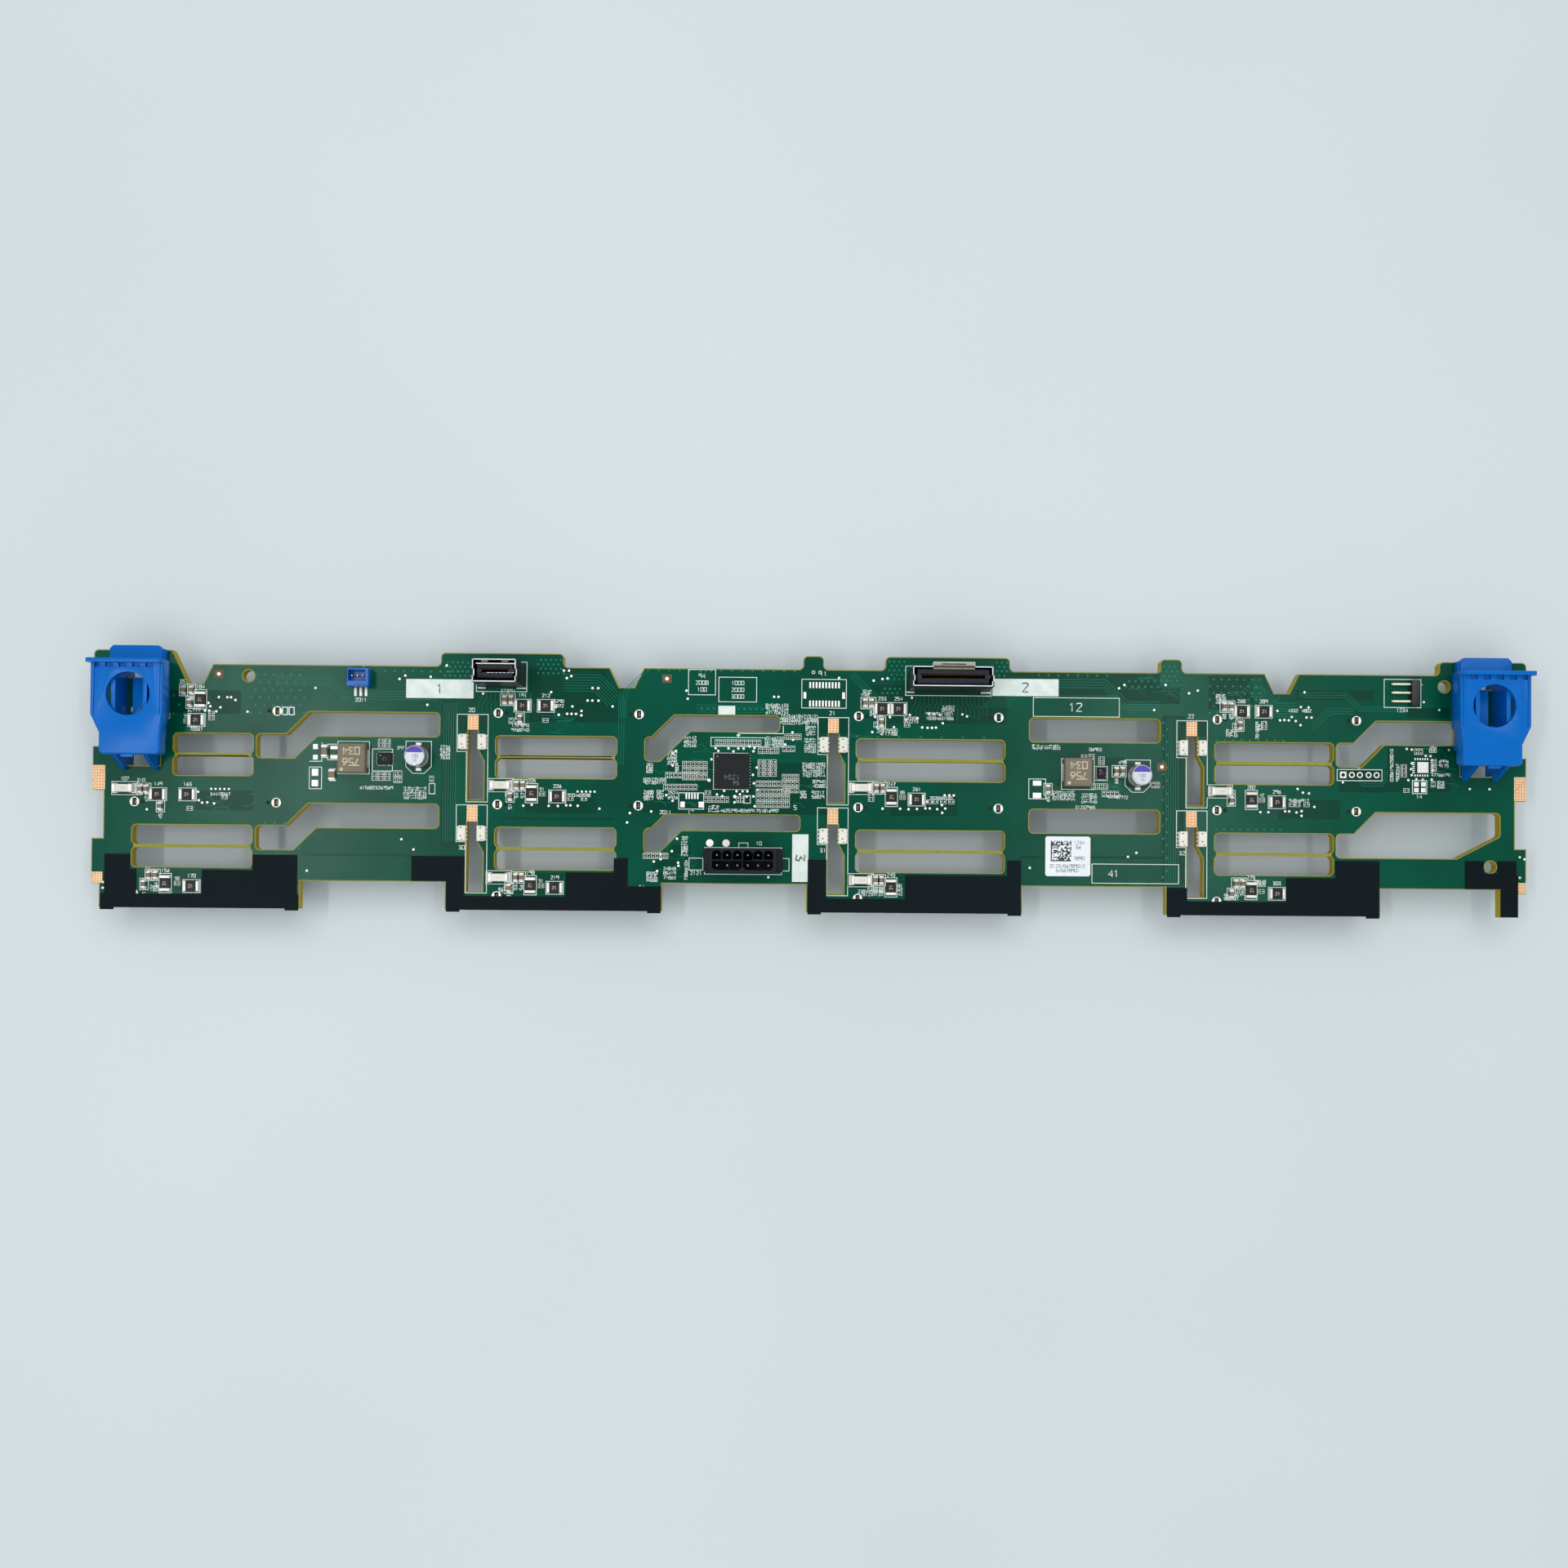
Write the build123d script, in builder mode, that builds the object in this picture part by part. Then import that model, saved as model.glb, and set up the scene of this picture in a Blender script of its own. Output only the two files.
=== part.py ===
from build123d import *
import os

# Drive backplane board of a storage server, in millimetres, +Z up.
# It lies face down: the mating faces of its twelve drive connectors stand on z = 0,
# and the side with the chips, the cable connectors and the two latches faces up.
# The origin is below the middle of the board. X runs along it, Y across it.

# Drive grid
COLUMNS = 4
ROWS = 3
COLUMN_PITCH = 106.7
ROW_PITCH = 27.05
LEFT_MARGIN = 33.25
RIGHT_MARGIN = 71.65
TOP_MARGIN = 17.75
BOTTOM_MARGIN = 4.15

# Board panel
BOARD_THICK = 3.2
SHOULDER_DROP = 4.0
FOOT_HEIGHT = 8.2
FOOT_REACH_LEFT = 36.0
FOOT_REACH_RIGHT = 28.0
OUTLINE_RADIUS = 1.4
EDGE_STEP_DEPTH = 3.4
EDGE_STEP_LENGTH = 14.2
EDGE_STEP_RISE = 3.4
EDGE_PAD_DROP = 1.2
FOOT_INSET = 2.4
END_FOOT_WIDTH = 5.4
NOTCH_DEPTH = 5.8
NOTCH_FLOOR = 4.5
NOTCH_MOUTH = 10.2
LEFT_EAR = 23.0
LEFT_EAR_SLOPE = 4.7
RIGHT_EAR = 26.1

# Round holes: one beside the first column, two measured from the board's right end
HOLE_D = 3.5
HOLE_RISE = 10.35
LEFT_HOLE_ACROSS = 12.25
RIGHT_HOLE_INSET = 24.6
LOW_HOLE_INSET = 10.7
LOW_HOLE_RISE = 10.85

# Tabs that reach the top edge: column, then left and right end from its centre line
TOP_TABS = [(1, -37.85, -1.55), (2, -37.35, -31.25), (2, -12.95, 24.05), (3, -37.85, -31.35)]
# Notches in the shoulder: column, then centre from its centre line
TOP_NOTCHES = [(1, 17.1), (3, -1.6)]

# Cooling slots: two in each bay between the rows, from the column's centre line
SLOT_WIDTH = 5.7
SLOT_RIB = 0.95
SLOT_PAIR_LIFT = 0.55
SLOT_CORNER = 1.3
SLOT_LEFT = 21.4
SLOT_RIGHT = [13.8, 14.2, 22.6, 13.9]
FIRST_SLOT_LEFT = 9.6
DOGLEG_DROP = 1.3
DOGLEG_SLANT = 2.4

# Stepped slots for the light guides
GUIDE_SLOT_WIDTH = 3.0
GUIDE_SLOT_FOOT = 4.8
GUIDE_SLOT_LENGTH = 20.6
GUIDE_SLOT_STEP = 5.8
GUIDE_SLOT_SLANT = 3.4
GUIDE_SLOT_LEFT = 29.7
GUIDE_SLOT_DROP = 5.1

# Drive connectors, on the far side
DRIVE_HEIGHT = 11.0
DRIVE_LENGTH = 46.8
DRIVE_WIDTH = 7.4
DRIVE_FLANGE = 3.2
DRIVE_CORNER = 0.8
SHROUD_LENGTH = 39.2
SHROUD_WIDTH = 6.0
SHROUD_LEAD_IN = 0.5
SOCKET_LENGTH = 34.4
SOCKET_WIDTH = 2.5
SOCKET_DEPTH = 6.4
KEY_WIDTH = 4.2
KEY_LENGTH = 1.7
CONTACT_PITCH = 1.27
SECOND_PITCH = 0.8
CONTACT_WIDTH = 0.45
CONTACT_THICK = 0.45
CONTACT_LENGTH = 5.2
SIGNAL_COUNT = 7
POWER_COUNT = 15
CONTACT_INSET = 2.6

# Metal locks that hold each drive connector in the board
LOCK_SPACING = 41.6
LOCK_WIDTH = 1.5
LOCK_THICK = 0.5
LOCK_DEPTH = 2.4
LOCK_SHORT = 0.5
LOCK_CLEARANCE = 0.05
LOCK_HOLE_PLAY = 0.22

# Insulating films on the lower edge
FILM_THICK = 0.25
FILM_OVERHANG = 0.6
FILM_STRIP = 4.1
FILM_TAB = 4.0
FILM_LEFT_GAP = 0.4
FILM_RIGHT_GAP = 0.3
FILM_EDGE_GAP = 0.2
END_FILM_LEFT = 18.3
END_FILM_RIGHT = 3.0
END_FILM_RISE = 12.6
END_FILM_NOTCH = (4.2, 8.9)
END_FILM_GAP = 0.1

# Latches
LATCH_INSET = 14.2
LATCH_HEIGHT = 11.0
LATCH_PLATE_THICK = 1.7
LATCH_INNER = 10.3
LATCH_INNER_STEP = 0.7
LATCH_OUTER = 10.5
LATCH_NECK = 7.9
LATCH_CORNER = 0.8
LATCH_EDGE = 0.35
LATCH_PLATE_LENGTH = 27.5
LATCH_TOP_GAP = 4.0
LATCH_SHOULDER = 16.0
LATCH_SLOPE = 5.4
LATCH_RIM = 1.2
LATCH_RIM_DEPTH = 2.8
LATCH_RIB_WIDTH = 0.5
LATCH_RIB_HEIGHT = 0.4
LATCH_RIB_INSET = 0.7
LATCH_TONGUE = (3.6, 0.8)
LATCH_LIP_OUTER = 0.9
LATCH_LIP_INNER = 0.2
LATCH_LIP_RISE = 1.8
LATCH_LIP_THICK = 1.2
LATCH_LIP_SINK = 0.6
LATCH_LIP_BEVEL = 1.2
LATCH_LIP_CORNER = 0.6
LATCH_HOLE_D = 12.6
LATCH_HOLE_DROP = 10.1
LATCH_HOLE_SHIFT = 0.3
LATCH_POCKETS = 5
LATCH_POCKET_PITCH = 3.85
LATCH_POCKET_SHIFT = 1.2
LATCH_POCKET_WIDTH = 2.1
LATCH_POCKET_LENGTH = 1.2
LATCH_POCKET_DEPTH = 0.8
LATCH_WEB_THICK = 1.2
LATCH_WEB_SPACING = 9.1
LATCH_WEB_SET = 0.2
LATCH_TOE = 1.3
LATCH_BASE_THICK = 2.4
LATCH_BASE_INNER = 8.2
LATCH_BASE_STEP = 0.8
LATCH_BASE_OUTER = 6.5
LATCH_SLIT_WIDTH = 2.2
LATCH_SLIT_LENGTH = 10.6
LATCH_SLIT_GAP = 0.4
LATCH_TAIL_INNER = 7.0
LATCH_TAIL_OUTER = 8.2
LATCH_TAIL_REACH = 0.9
LATCH_TAIL_THICK = 2.0
LATCH_TAIL_LIFT = 1.4
LATCH_TAIL_ROOT = 1.0
LATCH_TAIL_CORNER = 1.0
LATCH_CUT_WIDTH = 11.1
LATCH_CUTS = [(26.4, 34.2), (3.5, 8.2)]
LATCH_CLEARANCE = 0.3
LATCH_BARB = 0.9
LATCH_BARB_HEIGHT = 1.2
LATCH_SEAT = 0.15

# Signal connectors: column, row and centre, then length and width
SIGNAL_SOCKETS = {"1": (1, 0, -19.7, 11.05, 12.9, 6.6), "2": (2, 0, 5.8, 10.55, 23.5, 5.8)}
SIGNAL_HEIGHT = 13.5
SIGNAL_SHELL = 0.35
SIGNAL_RECESS = 0.9
SIGNAL_FLOOR = 4.0
SIGNAL_BAR = 1.5
SIGNAL_SLOT = 1.3
SIGNAL_FIT = 0.05

# Power header: column, row and centre
HEADER_AT = (2, 2, -54.75, 11.1)
HEADER_WAYS = 6
HEADER_PITCH = 3.0
HEADER_HEIGHT = 10.0
HEADER_WALL = 0.65
HEADER_END = 1.1
HEADER_RIB = 0.45
HEADER_CELL_DEPTH = 8.2
HEADER_CELL_CHAMFER = 0.7
HEADER_PIN = 0.65
HEADER_PIN_TOP = 7.6
HEADER_EAR = 1.8
HEADER_EAR_HEIGHT = 2.2

# Small three-way socket and right-angle pin header: column, row and centre
SMALL_SOCKET_AT = (0, 0, 45.35, 9.85)
SMALL_SOCKET = (6.4, 5.4, 4.2)
SMALL_POCKET = (4.9, 3.1, 3.2)
SMALL_POCKET_SHIFT = (-0.3, 0.5)
SMALL_CORNER = 0.3
SMALL_LEAD_PITCH = 1.55
SMALL_LEAD = (0.85, 2.5, 0.35)
ANGLE_HEADER_AT = (3, 0, 37.7, 8.35)
ANGLE_BASE = (2.5, 7.6, 2.5)
ANGLE_PITCH = 2.54
ANGLE_PIN = 0.64
ANGLE_REACH = 5.7
ANGLE_CORNER = 0.3

# Chips: column, row, centre, then length, width and height
CONTROLLER = (1, 1, 48.45, 10.4, 10.4, 10.4, 1.2)
REGULATORS = {"1": (0, 1, 52.75, 13.2, 4.4, 3.6, 0.9), "2": (2, 1, 51.35, 10.75, 2.6, 3.5, 0.9)}
INDUCTORS = {"1": (0, 1, 43.5, 13.2, 8.1, 8.6, 3.2), "2": (2, 1, 44.1, 10.9, 8.1, 8.4, 3.2)}
CHIP_BEVEL = 0.15
INDUCTOR_BEVEL = 0.5

# Can capacitors: column, row and centre
CANS = {"1": (0, 1, 62.55, 13.9), "2": (2, 1, 62.25, 10.0)}
CAN_D = 6.3
CAN_HEIGHT = 5.8
CAN_BASE = 6.6
CAN_BASE_HEIGHT = 1.0
CAN_BASE_BEVEL = 1.3
CAN_EDGE = 0.4

# Fuses: column, row and centre
FUSE_SPOTS = [
    (0, 1, -23.7, 3.9), (1, 1, -19.85, 5.7), (1, 2, -20.1, 5.5),
    (2, 1, -20.0, 5.8), (2, 2, -19.9, 5.5), (3, 1, -19.95, 5.65),
]
FUSE_SIZE = (6.1, 2.6, 2.4)
FUSE_CAP = 1.3
FUSE_NECK = 0.15

# Current-sense resistors that lie along the board: column, row and centre
SENSE_ALONG = [
    (0, 0, -2.95, -2.85), (0, 1, -13.95, 2.2), (0, 1, -5.25, 2.2), (0, 2, -3.75, 2.25),
    (1, 0, -13.65, 2.25), (1, 0, -6.75, 2.25), (1, 1, -3.15, 2.5), (1, 2, -3.65, 2.55),
    (2, 0, -13.85, 2.25), (2, 0, -9.05, 2.25), (2, 1, -3.45, 2.5),
    (3, 0, -13.65, 2.45), (3, 0, -6.95, 2.45), (3, 1, -2.95, 2.6), (3, 2, -2.85, 2.45),
]
# Those that lie across it
SENSE_ACROSS = [
    (0, 0, -1.85, 3.25), (0, 2, -11.45, 3.05), (1, 1, -10.75, 3.4), (1, 2, -10.85, 3.25),
    (2, 1, -10.95, 3.2), (2, 2, -10.95, 3.45), (3, 1, -10.55, 3.2), (3, 2, -10.55, 3.45),
]
SENSE_SIZE = (4.4, 3.0, 0.8)

# Ceramic capacitors, all across the board: column, row and centre
CERAMIC_SPOTS = [
    (0, 0, -6.85, 5.95), (0, 0, -4.45, 5.95), (0, 0, -4.85, 2.25),
    (0, 1, -18.95, 3.7), (0, 1, -17.25, 3.7), (0, 1, -13.15, -1.3),
    (0, 2, -16.15, 5.45), (0, 2, -14.15, 5.45), (0, 2, -17.65, 2.75),
    (1, 0, -18.95, 3.95), (1, 0, -17.05, 3.95), (1, 0, -14.35, -1.75),
    (1, 1, -15.15, 5.7), (1, 1, -13.35, 5.7), (1, 1, -17.05, 2.4),
    (1, 2, -15.15, 5.55), (1, 2, -13.45, 5.55), (1, 2, -17.15, 2.4),
    (2, 0, -18.95, 3.95), (2, 0, -16.95, 3.95), (2, 0, -14.05, -1.85),
    (2, 1, -15.35, 5.7), (2, 1, -13.55, 5.7), (2, 2, -15.45, 5.55), (2, 2, -13.75, 5.55),
    (3, 0, -18.75, 3.85), (3, 0, -16.75, 3.85), (3, 0, -14.05, -1.75),
    (3, 1, -16.55, 3.0), (3, 2, -15.15, 5.35), (3, 2, -13.15, 5.35), (3, 2, -16.45, 2.3),
    (2, 1, 35.55, 5.9), (2, 1, 55.85, 11.4), (2, 1, 57.65, 11.4),
]
CERAMIC_SIZE = (1.25, 2.1, 1.2)

# Indicator blocks on both sides of each stepped slot, and the blank label
INDICATOR_SIZE = (2.6, 4.6, 1.6)
INDICATOR_GAP = 0.1
INDICATOR_DROP = 1.2
LABEL_AT = (2, 2, 41.55, 13.05)
LABEL_SIZE = (13.4, 11.8, 0.1)

BOARD_LENGTH = LEFT_MARGIN + (COLUMNS - 1) * COLUMN_PITCH + RIGHT_MARGIN
BOARD_WIDTH = TOP_MARGIN + (ROWS - 1) * ROW_PITCH + BOTTOM_MARGIN
LEFT, RIGHT = -BOARD_LENGTH / 2, BOARD_LENGTH / 2
BOTTOM, TOP = -BOARD_WIDTH / 2, BOARD_WIDTH / 2
SHOULDER = TOP - SHOULDER_DROP
RECESS = BOTTOM + FOOT_HEIGHT
BOARD_UNDER = DRIVE_HEIGHT
BOARD_TOP = BOARD_UNDER + BOARD_THICK
COLUMN_X = [LEFT + LEFT_MARGIN + i * COLUMN_PITCH for i in range(COLUMNS)]
ROW_Y = [TOP - TOP_MARGIN - k * ROW_PITCH for k in range(ROWS)]

os.makedirs("parts", exist_ok=True)


def save(piece, name):
    """Label a finished piece and write its STEP file."""
    piece.label = name
    export_step(piece, f"parts/{name}.step")


def spot(column, row, across, up):
    """A place on the board, from a column's centre line and a row's line."""
    return COLUMN_X[column] + across, ROW_Y[row] + up


def span(x0, x1, y0, y1, mode=Mode.ADD):
    """A rectangle between two limits each way, in the sketch that is open."""
    with Locations(((x0 + x1) / 2, (y0 + y1) / 2)):
        Rectangle(x1 - x0, y1 - y0, mode=mode)


def blocks(spots, size, z):
    """Equal rectangular solids that stand at z on the given spots."""
    with BuildPart() as group:
        with Locations(*[(x, y, z) for x, y in spots]):
            Box(*size, align=(Align.CENTER, Align.CENTER, Align.MIN))
    return group.part


# Board panel

def column_feet():
    """Left and right end of the foot below each column."""
    feet = [[x - FOOT_REACH_LEFT, x + FOOT_REACH_RIGHT] for x in COLUMN_X]
    feet[0][0] = LEFT + FOOT_INSET
    return feet


def board_outline():
    """Routed outline: panel, feet, tabs and ears, less the notches and the stepped ends."""
    end_foot = [RIGHT - FOOT_INSET - END_FOOT_WIDTH, RIGHT - FOOT_INSET]
    floor = SHOULDER - NOTCH_DEPTH
    ear = LEFT + LEFT_EAR
    half, narrow = NOTCH_MOUTH / 2, NOTCH_FLOOR / 2
    lean = half - narrow
    with BuildSketch(Plane.XY.offset(BOARD_UNDER)) as outline:
        span(LEFT, RIGHT, RECESS, SHOULDER)
        for x0, x1 in column_feet() + [end_foot]:
            span(x0, x1, BOTTOM, RECESS)
        for column, x0, x1 in TOP_TABS:
            span(COLUMN_X[column] + x0, COLUMN_X[column] + x1, SHOULDER, TOP)
        span(LEFT, ear + lean, SHOULDER, TOP)
        span(RIGHT - RIGHT_EAR, RIGHT, SHOULDER, TOP)
        fillet([v for v in outline.vertices() if v.Y > 0], OUTLINE_RADIUS)
        for column, centre in TOP_NOTCHES:
            x = COLUMN_X[column] + centre
            Polygon((x - half, SHOULDER), (x - narrow, floor), (x + narrow, floor), (x + half, SHOULDER),
                    align=None, mode=Mode.SUBTRACT)
        foot = ear + LEFT_EAR_SLOPE
        mouth = foot + NOTCH_FLOOR + lean
        Polygon((ear, TOP), (foot, floor), (foot + NOTCH_FLOOR, floor), (mouth, SHOULDER), (mouth, TOP),
                align=None, mode=Mode.SUBTRACT)
        for row in (0, 1):
            y1 = ROW_Y[row] + EDGE_STEP_RISE
            span(LEFT, LEFT + EDGE_STEP_DEPTH, y1 - EDGE_STEP_LENGTH, y1, Mode.SUBTRACT)
            span(RIGHT - EDGE_STEP_DEPTH, RIGHT, y1 - EDGE_STEP_LENGTH, y1, Mode.SUBTRACT)
        span(LEFT, LEFT + EDGE_STEP_DEPTH, RECESS - EDGE_PAD_DROP, RECESS)
        span(RIGHT - EDGE_STEP_DEPTH, RIGHT, RECESS - EDGE_PAD_DROP, RECESS)
    return outline.sketch


def slot_pair(row):
    """Centre lines of the two cooling slots between a row and the next one down."""
    middle = ROW_Y[row] - ROW_PITCH / 2 + SLOT_PAIR_LIFT
    step = (SLOT_WIDTH + SLOT_RIB) / 2
    return middle + step, middle - step


def straight_slots():
    """Left end, right end and centre line of every straight cooling slot."""
    slots = []
    for column, x in enumerate(COLUMN_X):
        for row in range(ROWS - 1):
            short = column == 0 and row == 0
            left = FIRST_SLOT_LEFT if short else SLOT_LEFT
            slots += [(x - left, x + SLOT_RIGHT[column], y) for y in slot_pair(row)]
    return slots


# Bent slots beside the straight ones: column, row above, start and knee from the column's centre line,
# right end from the next column's centre line, then top and bottom of the raised run below the row's line
BENT_SLOTS = [
    (0, 0, 14.85, 23.6, -38.1, -0.15, -7.2),
    (0, 1, 14.85, 23.6, -38.1, -0.15, -7.2),
    (1, 0, 22.65, 24.6, -44.3, -0.15, -4.8),
    (1, 1, 22.65, 24.6, -38.1, -2.5, -7.2),
    (3, 0, 14.85, 20.0, -55.8, -0.15, -7.1),
]
# Plain slots of the third column's bay: start from its centre line and end from the next one's
WIDE_SLOT = (30.0, -37.9, -0.15, -7.1)
# The last slot, which widens to the left: knee, start of its sloping end, and right end from the board's end
LAST_SLOT = (20.1, -20.8, -7.9)
LAST_SLOT_TOP = -0.3
LAST_SLOT_CORNER = 6.8


def bent_slot(column, row, start, knee, end, top, bottom):
    """Corners of a slot that leaves the straight ones level and climbs to the row's line."""
    x = COLUMN_X[column]
    upper = slot_pair(row)[0]
    high, low = upper + SLOT_WIDTH / 2, upper - SLOT_WIDTH / 2 - DOGLEG_DROP
    y1, y0 = ROW_Y[row] + top, ROW_Y[row] + bottom
    right = x + COLUMN_PITCH + end
    return [
        (x + start, high), (x + knee, high), (x + knee + y1 - high, y1), (right, y1), (right, y0),
        (x + knee + DOGLEG_SLANT + y0 - low, y0), (x + knee + DOGLEG_SLANT, low), (x + start, low),
    ]


def last_slot():
    """Corners of the wide slot below the right latch."""
    x, line = COLUMN_X[-1], ROW_Y[1]
    upper = slot_pair(1)[0]
    high, low = upper + SLOT_WIDTH / 2, upper - SLOT_WIDTH / 2 - DOGLEG_DROP
    knee, slope, end = x + LAST_SLOT[0], RIGHT + LAST_SLOT[1], RIGHT + LAST_SLOT[2]
    top = line + LAST_SLOT_TOP
    return [
        (x + BENT_SLOTS[0][2], high), (knee, high), (knee + top - high, top), (end, top),
        (end, top - LAST_SLOT_CORNER), (slope, low), (x + BENT_SLOTS[0][2], low),
    ]


def guide_slot(column, row):
    """Corners of a stepped slot, narrow above and wider below."""
    x, y = spot(column, row, -GUIDE_SLOT_LEFT, -GUIDE_SLOT_DROP)
    bottom = y - GUIDE_SLOT_LENGTH
    step = y - GUIDE_SLOT_STEP
    return [
        (x, y), (x + GUIDE_SLOT_WIDTH, y), (x + GUIDE_SLOT_WIDTH, step),
        (x + GUIDE_SLOT_FOOT, step - GUIDE_SLOT_SLANT), (x + GUIDE_SLOT_FOOT, bottom), (x, bottom),
    ]


def slot_outline(corners):
    """One bent slot with rounded corners at its two ends."""
    with BuildSketch() as slot:
        Polygon(*corners, align=None)
        ends = slot.vertices().group_by(Axis.X)
        fillet(ends[0] + ends[-1], SLOT_CORNER)
    return slot.sketch


def board_slots():
    """Every cooling slot, with rounded ends, and every stepped slot."""
    with BuildSketch(Plane.XY.offset(BOARD_UNDER)) as slots:
        for x0, x1, y in straight_slots():
            span(x0, x1, y - SLOT_WIDTH / 2, y + SLOT_WIDTH / 2)
        for row in range(ROWS - 1):
            start, end, top, bottom = WIDE_SLOT
            y = ROW_Y[row]
            span(COLUMN_X[2] + start, COLUMN_X[2] + COLUMN_PITCH + end, y + bottom, y + top)
        fillet(slots.vertices(), SLOT_CORNER)
        for bent in BENT_SLOTS:
            add(slot_outline(bent_slot(*bent)))
        add(slot_outline(last_slot()))
        for column in range(1, COLUMNS):
            for row in range(ROWS - 1):
                Polygon(*guide_slot(column, row), align=None)
    return slots.sketch


def lock_spots():
    """Centres of the two board locks of each drive connector."""
    return [(x + side * LOCK_SPACING / 2, y) for x in COLUMN_X for y in ROW_Y for side in (-1, 1)]


def latch_places():
    """Centre line of each latch, with the side that its wide edge is on."""
    return {"left": (LEFT + LATCH_INSET, -1), "right": (RIGHT - LATCH_INSET, 1)}


def low_hole():
    """Centre of the round hole beside the right foot."""
    return RIGHT - LOW_HOLE_INSET, ROW_Y[-1] + LOW_HOLE_RISE


def board_holes():
    """Round holes, lock slots and the square cut-outs that the latches pass through."""
    left_hole = spot(0, 0, LEFT_HOLE_ACROSS, HOLE_RISE)
    right_hole = (RIGHT - RIGHT_HOLE_INSET, left_hole[1])
    with BuildSketch(Plane.XY.offset(BOARD_UNDER)) as holes:
        with Locations(left_hole, right_hole, low_hole()):
            Circle(HOLE_D / 2)
        with Locations(*lock_spots()):
            Rectangle(LOCK_THICK + 2 * LOCK_HOLE_PLAY, LOCK_WIDTH + 2 * LOCK_HOLE_PLAY)
        for x, _ in latch_places().values():
            for near, far in LATCH_CUTS:
                span(x - LATCH_CUT_WIDTH / 2, x + LATCH_CUT_WIDTH / 2, TOP - far, TOP - near)
    return holes.sketch


def make_board():
    """The routed laminate panel."""
    outline, slots, holes = board_outline(), board_slots(), board_holes()
    with BuildPart() as board:
        extrude(outline, amount=BOARD_THICK)
        extrude(slots, amount=BOARD_THICK, mode=Mode.SUBTRACT)
        extrude(holes, amount=BOARD_THICK, mode=Mode.SUBTRACT)
    return board.part


# Insulating films: column, then left end, right end and top of each run, from its centre line and its row's.
# No left end means the end of the foot that the film lies on
FILMS = {
    "1": (0, [(-29.3, -21.9, 11.6), (-29.3, -19.95, 7.2), (-0.65, 14.1, 7.1), (14.1, 27.2, 11.65)]),
    "2": (1, [(-45.85, -30.25, 11.65), (-0.45, 13.75, 7.1), (13.75, 17.85, 11.45), (17.85, 27.75, 3.15)]),
    "3": (2, [(None, -30.05, 11.45), (-6.75, 22.65, 7.1), (23.55, 27.6, 11.65)]),
    "4": (3, [(None, -29.65, 3.95), (-0.05, 14.65, 7.1), (14.65, 27.7, 12.3)]),
}


def make_film(column, runs):
    """One black film: a strip along the foot, raised runs on it and two tabs over the board's edge."""
    x = COLUMN_X[column]
    foot = column_feet()[column]
    left, right = foot[0] + FILM_LEFT_GAP, foot[1] - FILM_RIGHT_GAP
    with BuildSketch(Plane.XY.offset(BOARD_TOP)) as film:
        span(left, right, BOTTOM, BOTTOM + FILM_STRIP)
        for x0, x1, top in runs:
            start = left if x0 is None else x + x0
            span(max(start, left), x + x1, BOTTOM, ROW_Y[-1] + top)
            if start < left:
                span(start, left, RECESS + FILM_EDGE_GAP, ROW_Y[-1] + top)
        span(left, left + FILM_TAB, BOTTOM - FILM_OVERHANG, BOTTOM)
        span(right - FILM_TAB, right, BOTTOM - FILM_OVERHANG, BOTTOM)
    with BuildPart() as sheet:
        extrude(film.sketch, amount=FILM_THICK)
    return sheet.part


def make_end_film():
    """The film at the right end: a block round the fixing hole and a run down the end foot."""
    top = ROW_Y[-1] + END_FILM_RISE
    notch_width, notch_rise = END_FILM_NOTCH
    hole = low_hole()[0]
    foot = RIGHT - FOOT_INSET
    with BuildSketch(Plane.XY.offset(BOARD_TOP)) as film:
        span(RIGHT - END_FILM_LEFT, RIGHT - END_FILM_RIGHT, RECESS + FILM_EDGE_GAP, top)
        span(foot - END_FOOT_WIDTH + END_FILM_GAP, foot - END_FILM_GAP, BOTTOM + END_FILM_GAP,
             RECESS + FILM_STRIP)
        span(hole - notch_width / 2, hole + notch_width / 2, ROW_Y[-1] + notch_rise, top, Mode.SUBTRACT)
    with BuildPart() as sheet:
        extrude(film.sketch, amount=FILM_THICK)
    return sheet.part


# Drive connectors

def drive_housing():
    """A moulded housing, mating face down: flange on the board, shroud, keyed socket and lock pockets."""
    with BuildPart() as housing:
        with BuildSketch(Plane.XY.offset(DRIVE_HEIGHT - DRIVE_FLANGE)) as flange:
            Rectangle(DRIVE_LENGTH, DRIVE_WIDTH)
            chamfer(flange.vertices(), DRIVE_CORNER)
        extrude(amount=DRIVE_FLANGE)
        with BuildSketch():
            Rectangle(SHROUD_LENGTH, SHROUD_WIDTH)
        extrude(amount=DRIVE_HEIGHT - DRIVE_FLANGE)
        chamfer(housing.faces().sort_by(Axis.Z)[0].edges(), SHROUD_LEAD_IN)
        with BuildSketch():
            Rectangle(SOCKET_LENGTH, SOCKET_WIDTH)
            with Locations((-SOCKET_LENGTH / 2, 0), (SOCKET_LENGTH / 2, 0)):
                Rectangle(2 * KEY_LENGTH, KEY_WIDTH)
        extrude(amount=SOCKET_DEPTH, mode=Mode.SUBTRACT)
        with BuildSketch(Plane.XY.offset(DRIVE_HEIGHT)):
            with Locations((-LOCK_SPACING / 2, 0), (LOCK_SPACING / 2, 0)):
                Rectangle(LOCK_THICK + 2 * LOCK_CLEARANCE, LOCK_WIDTH + 2 * LOCK_CLEARANCE)
        extrude(amount=-LOCK_DEPTH, mode=Mode.SUBTRACT)
    return housing.part


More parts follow.
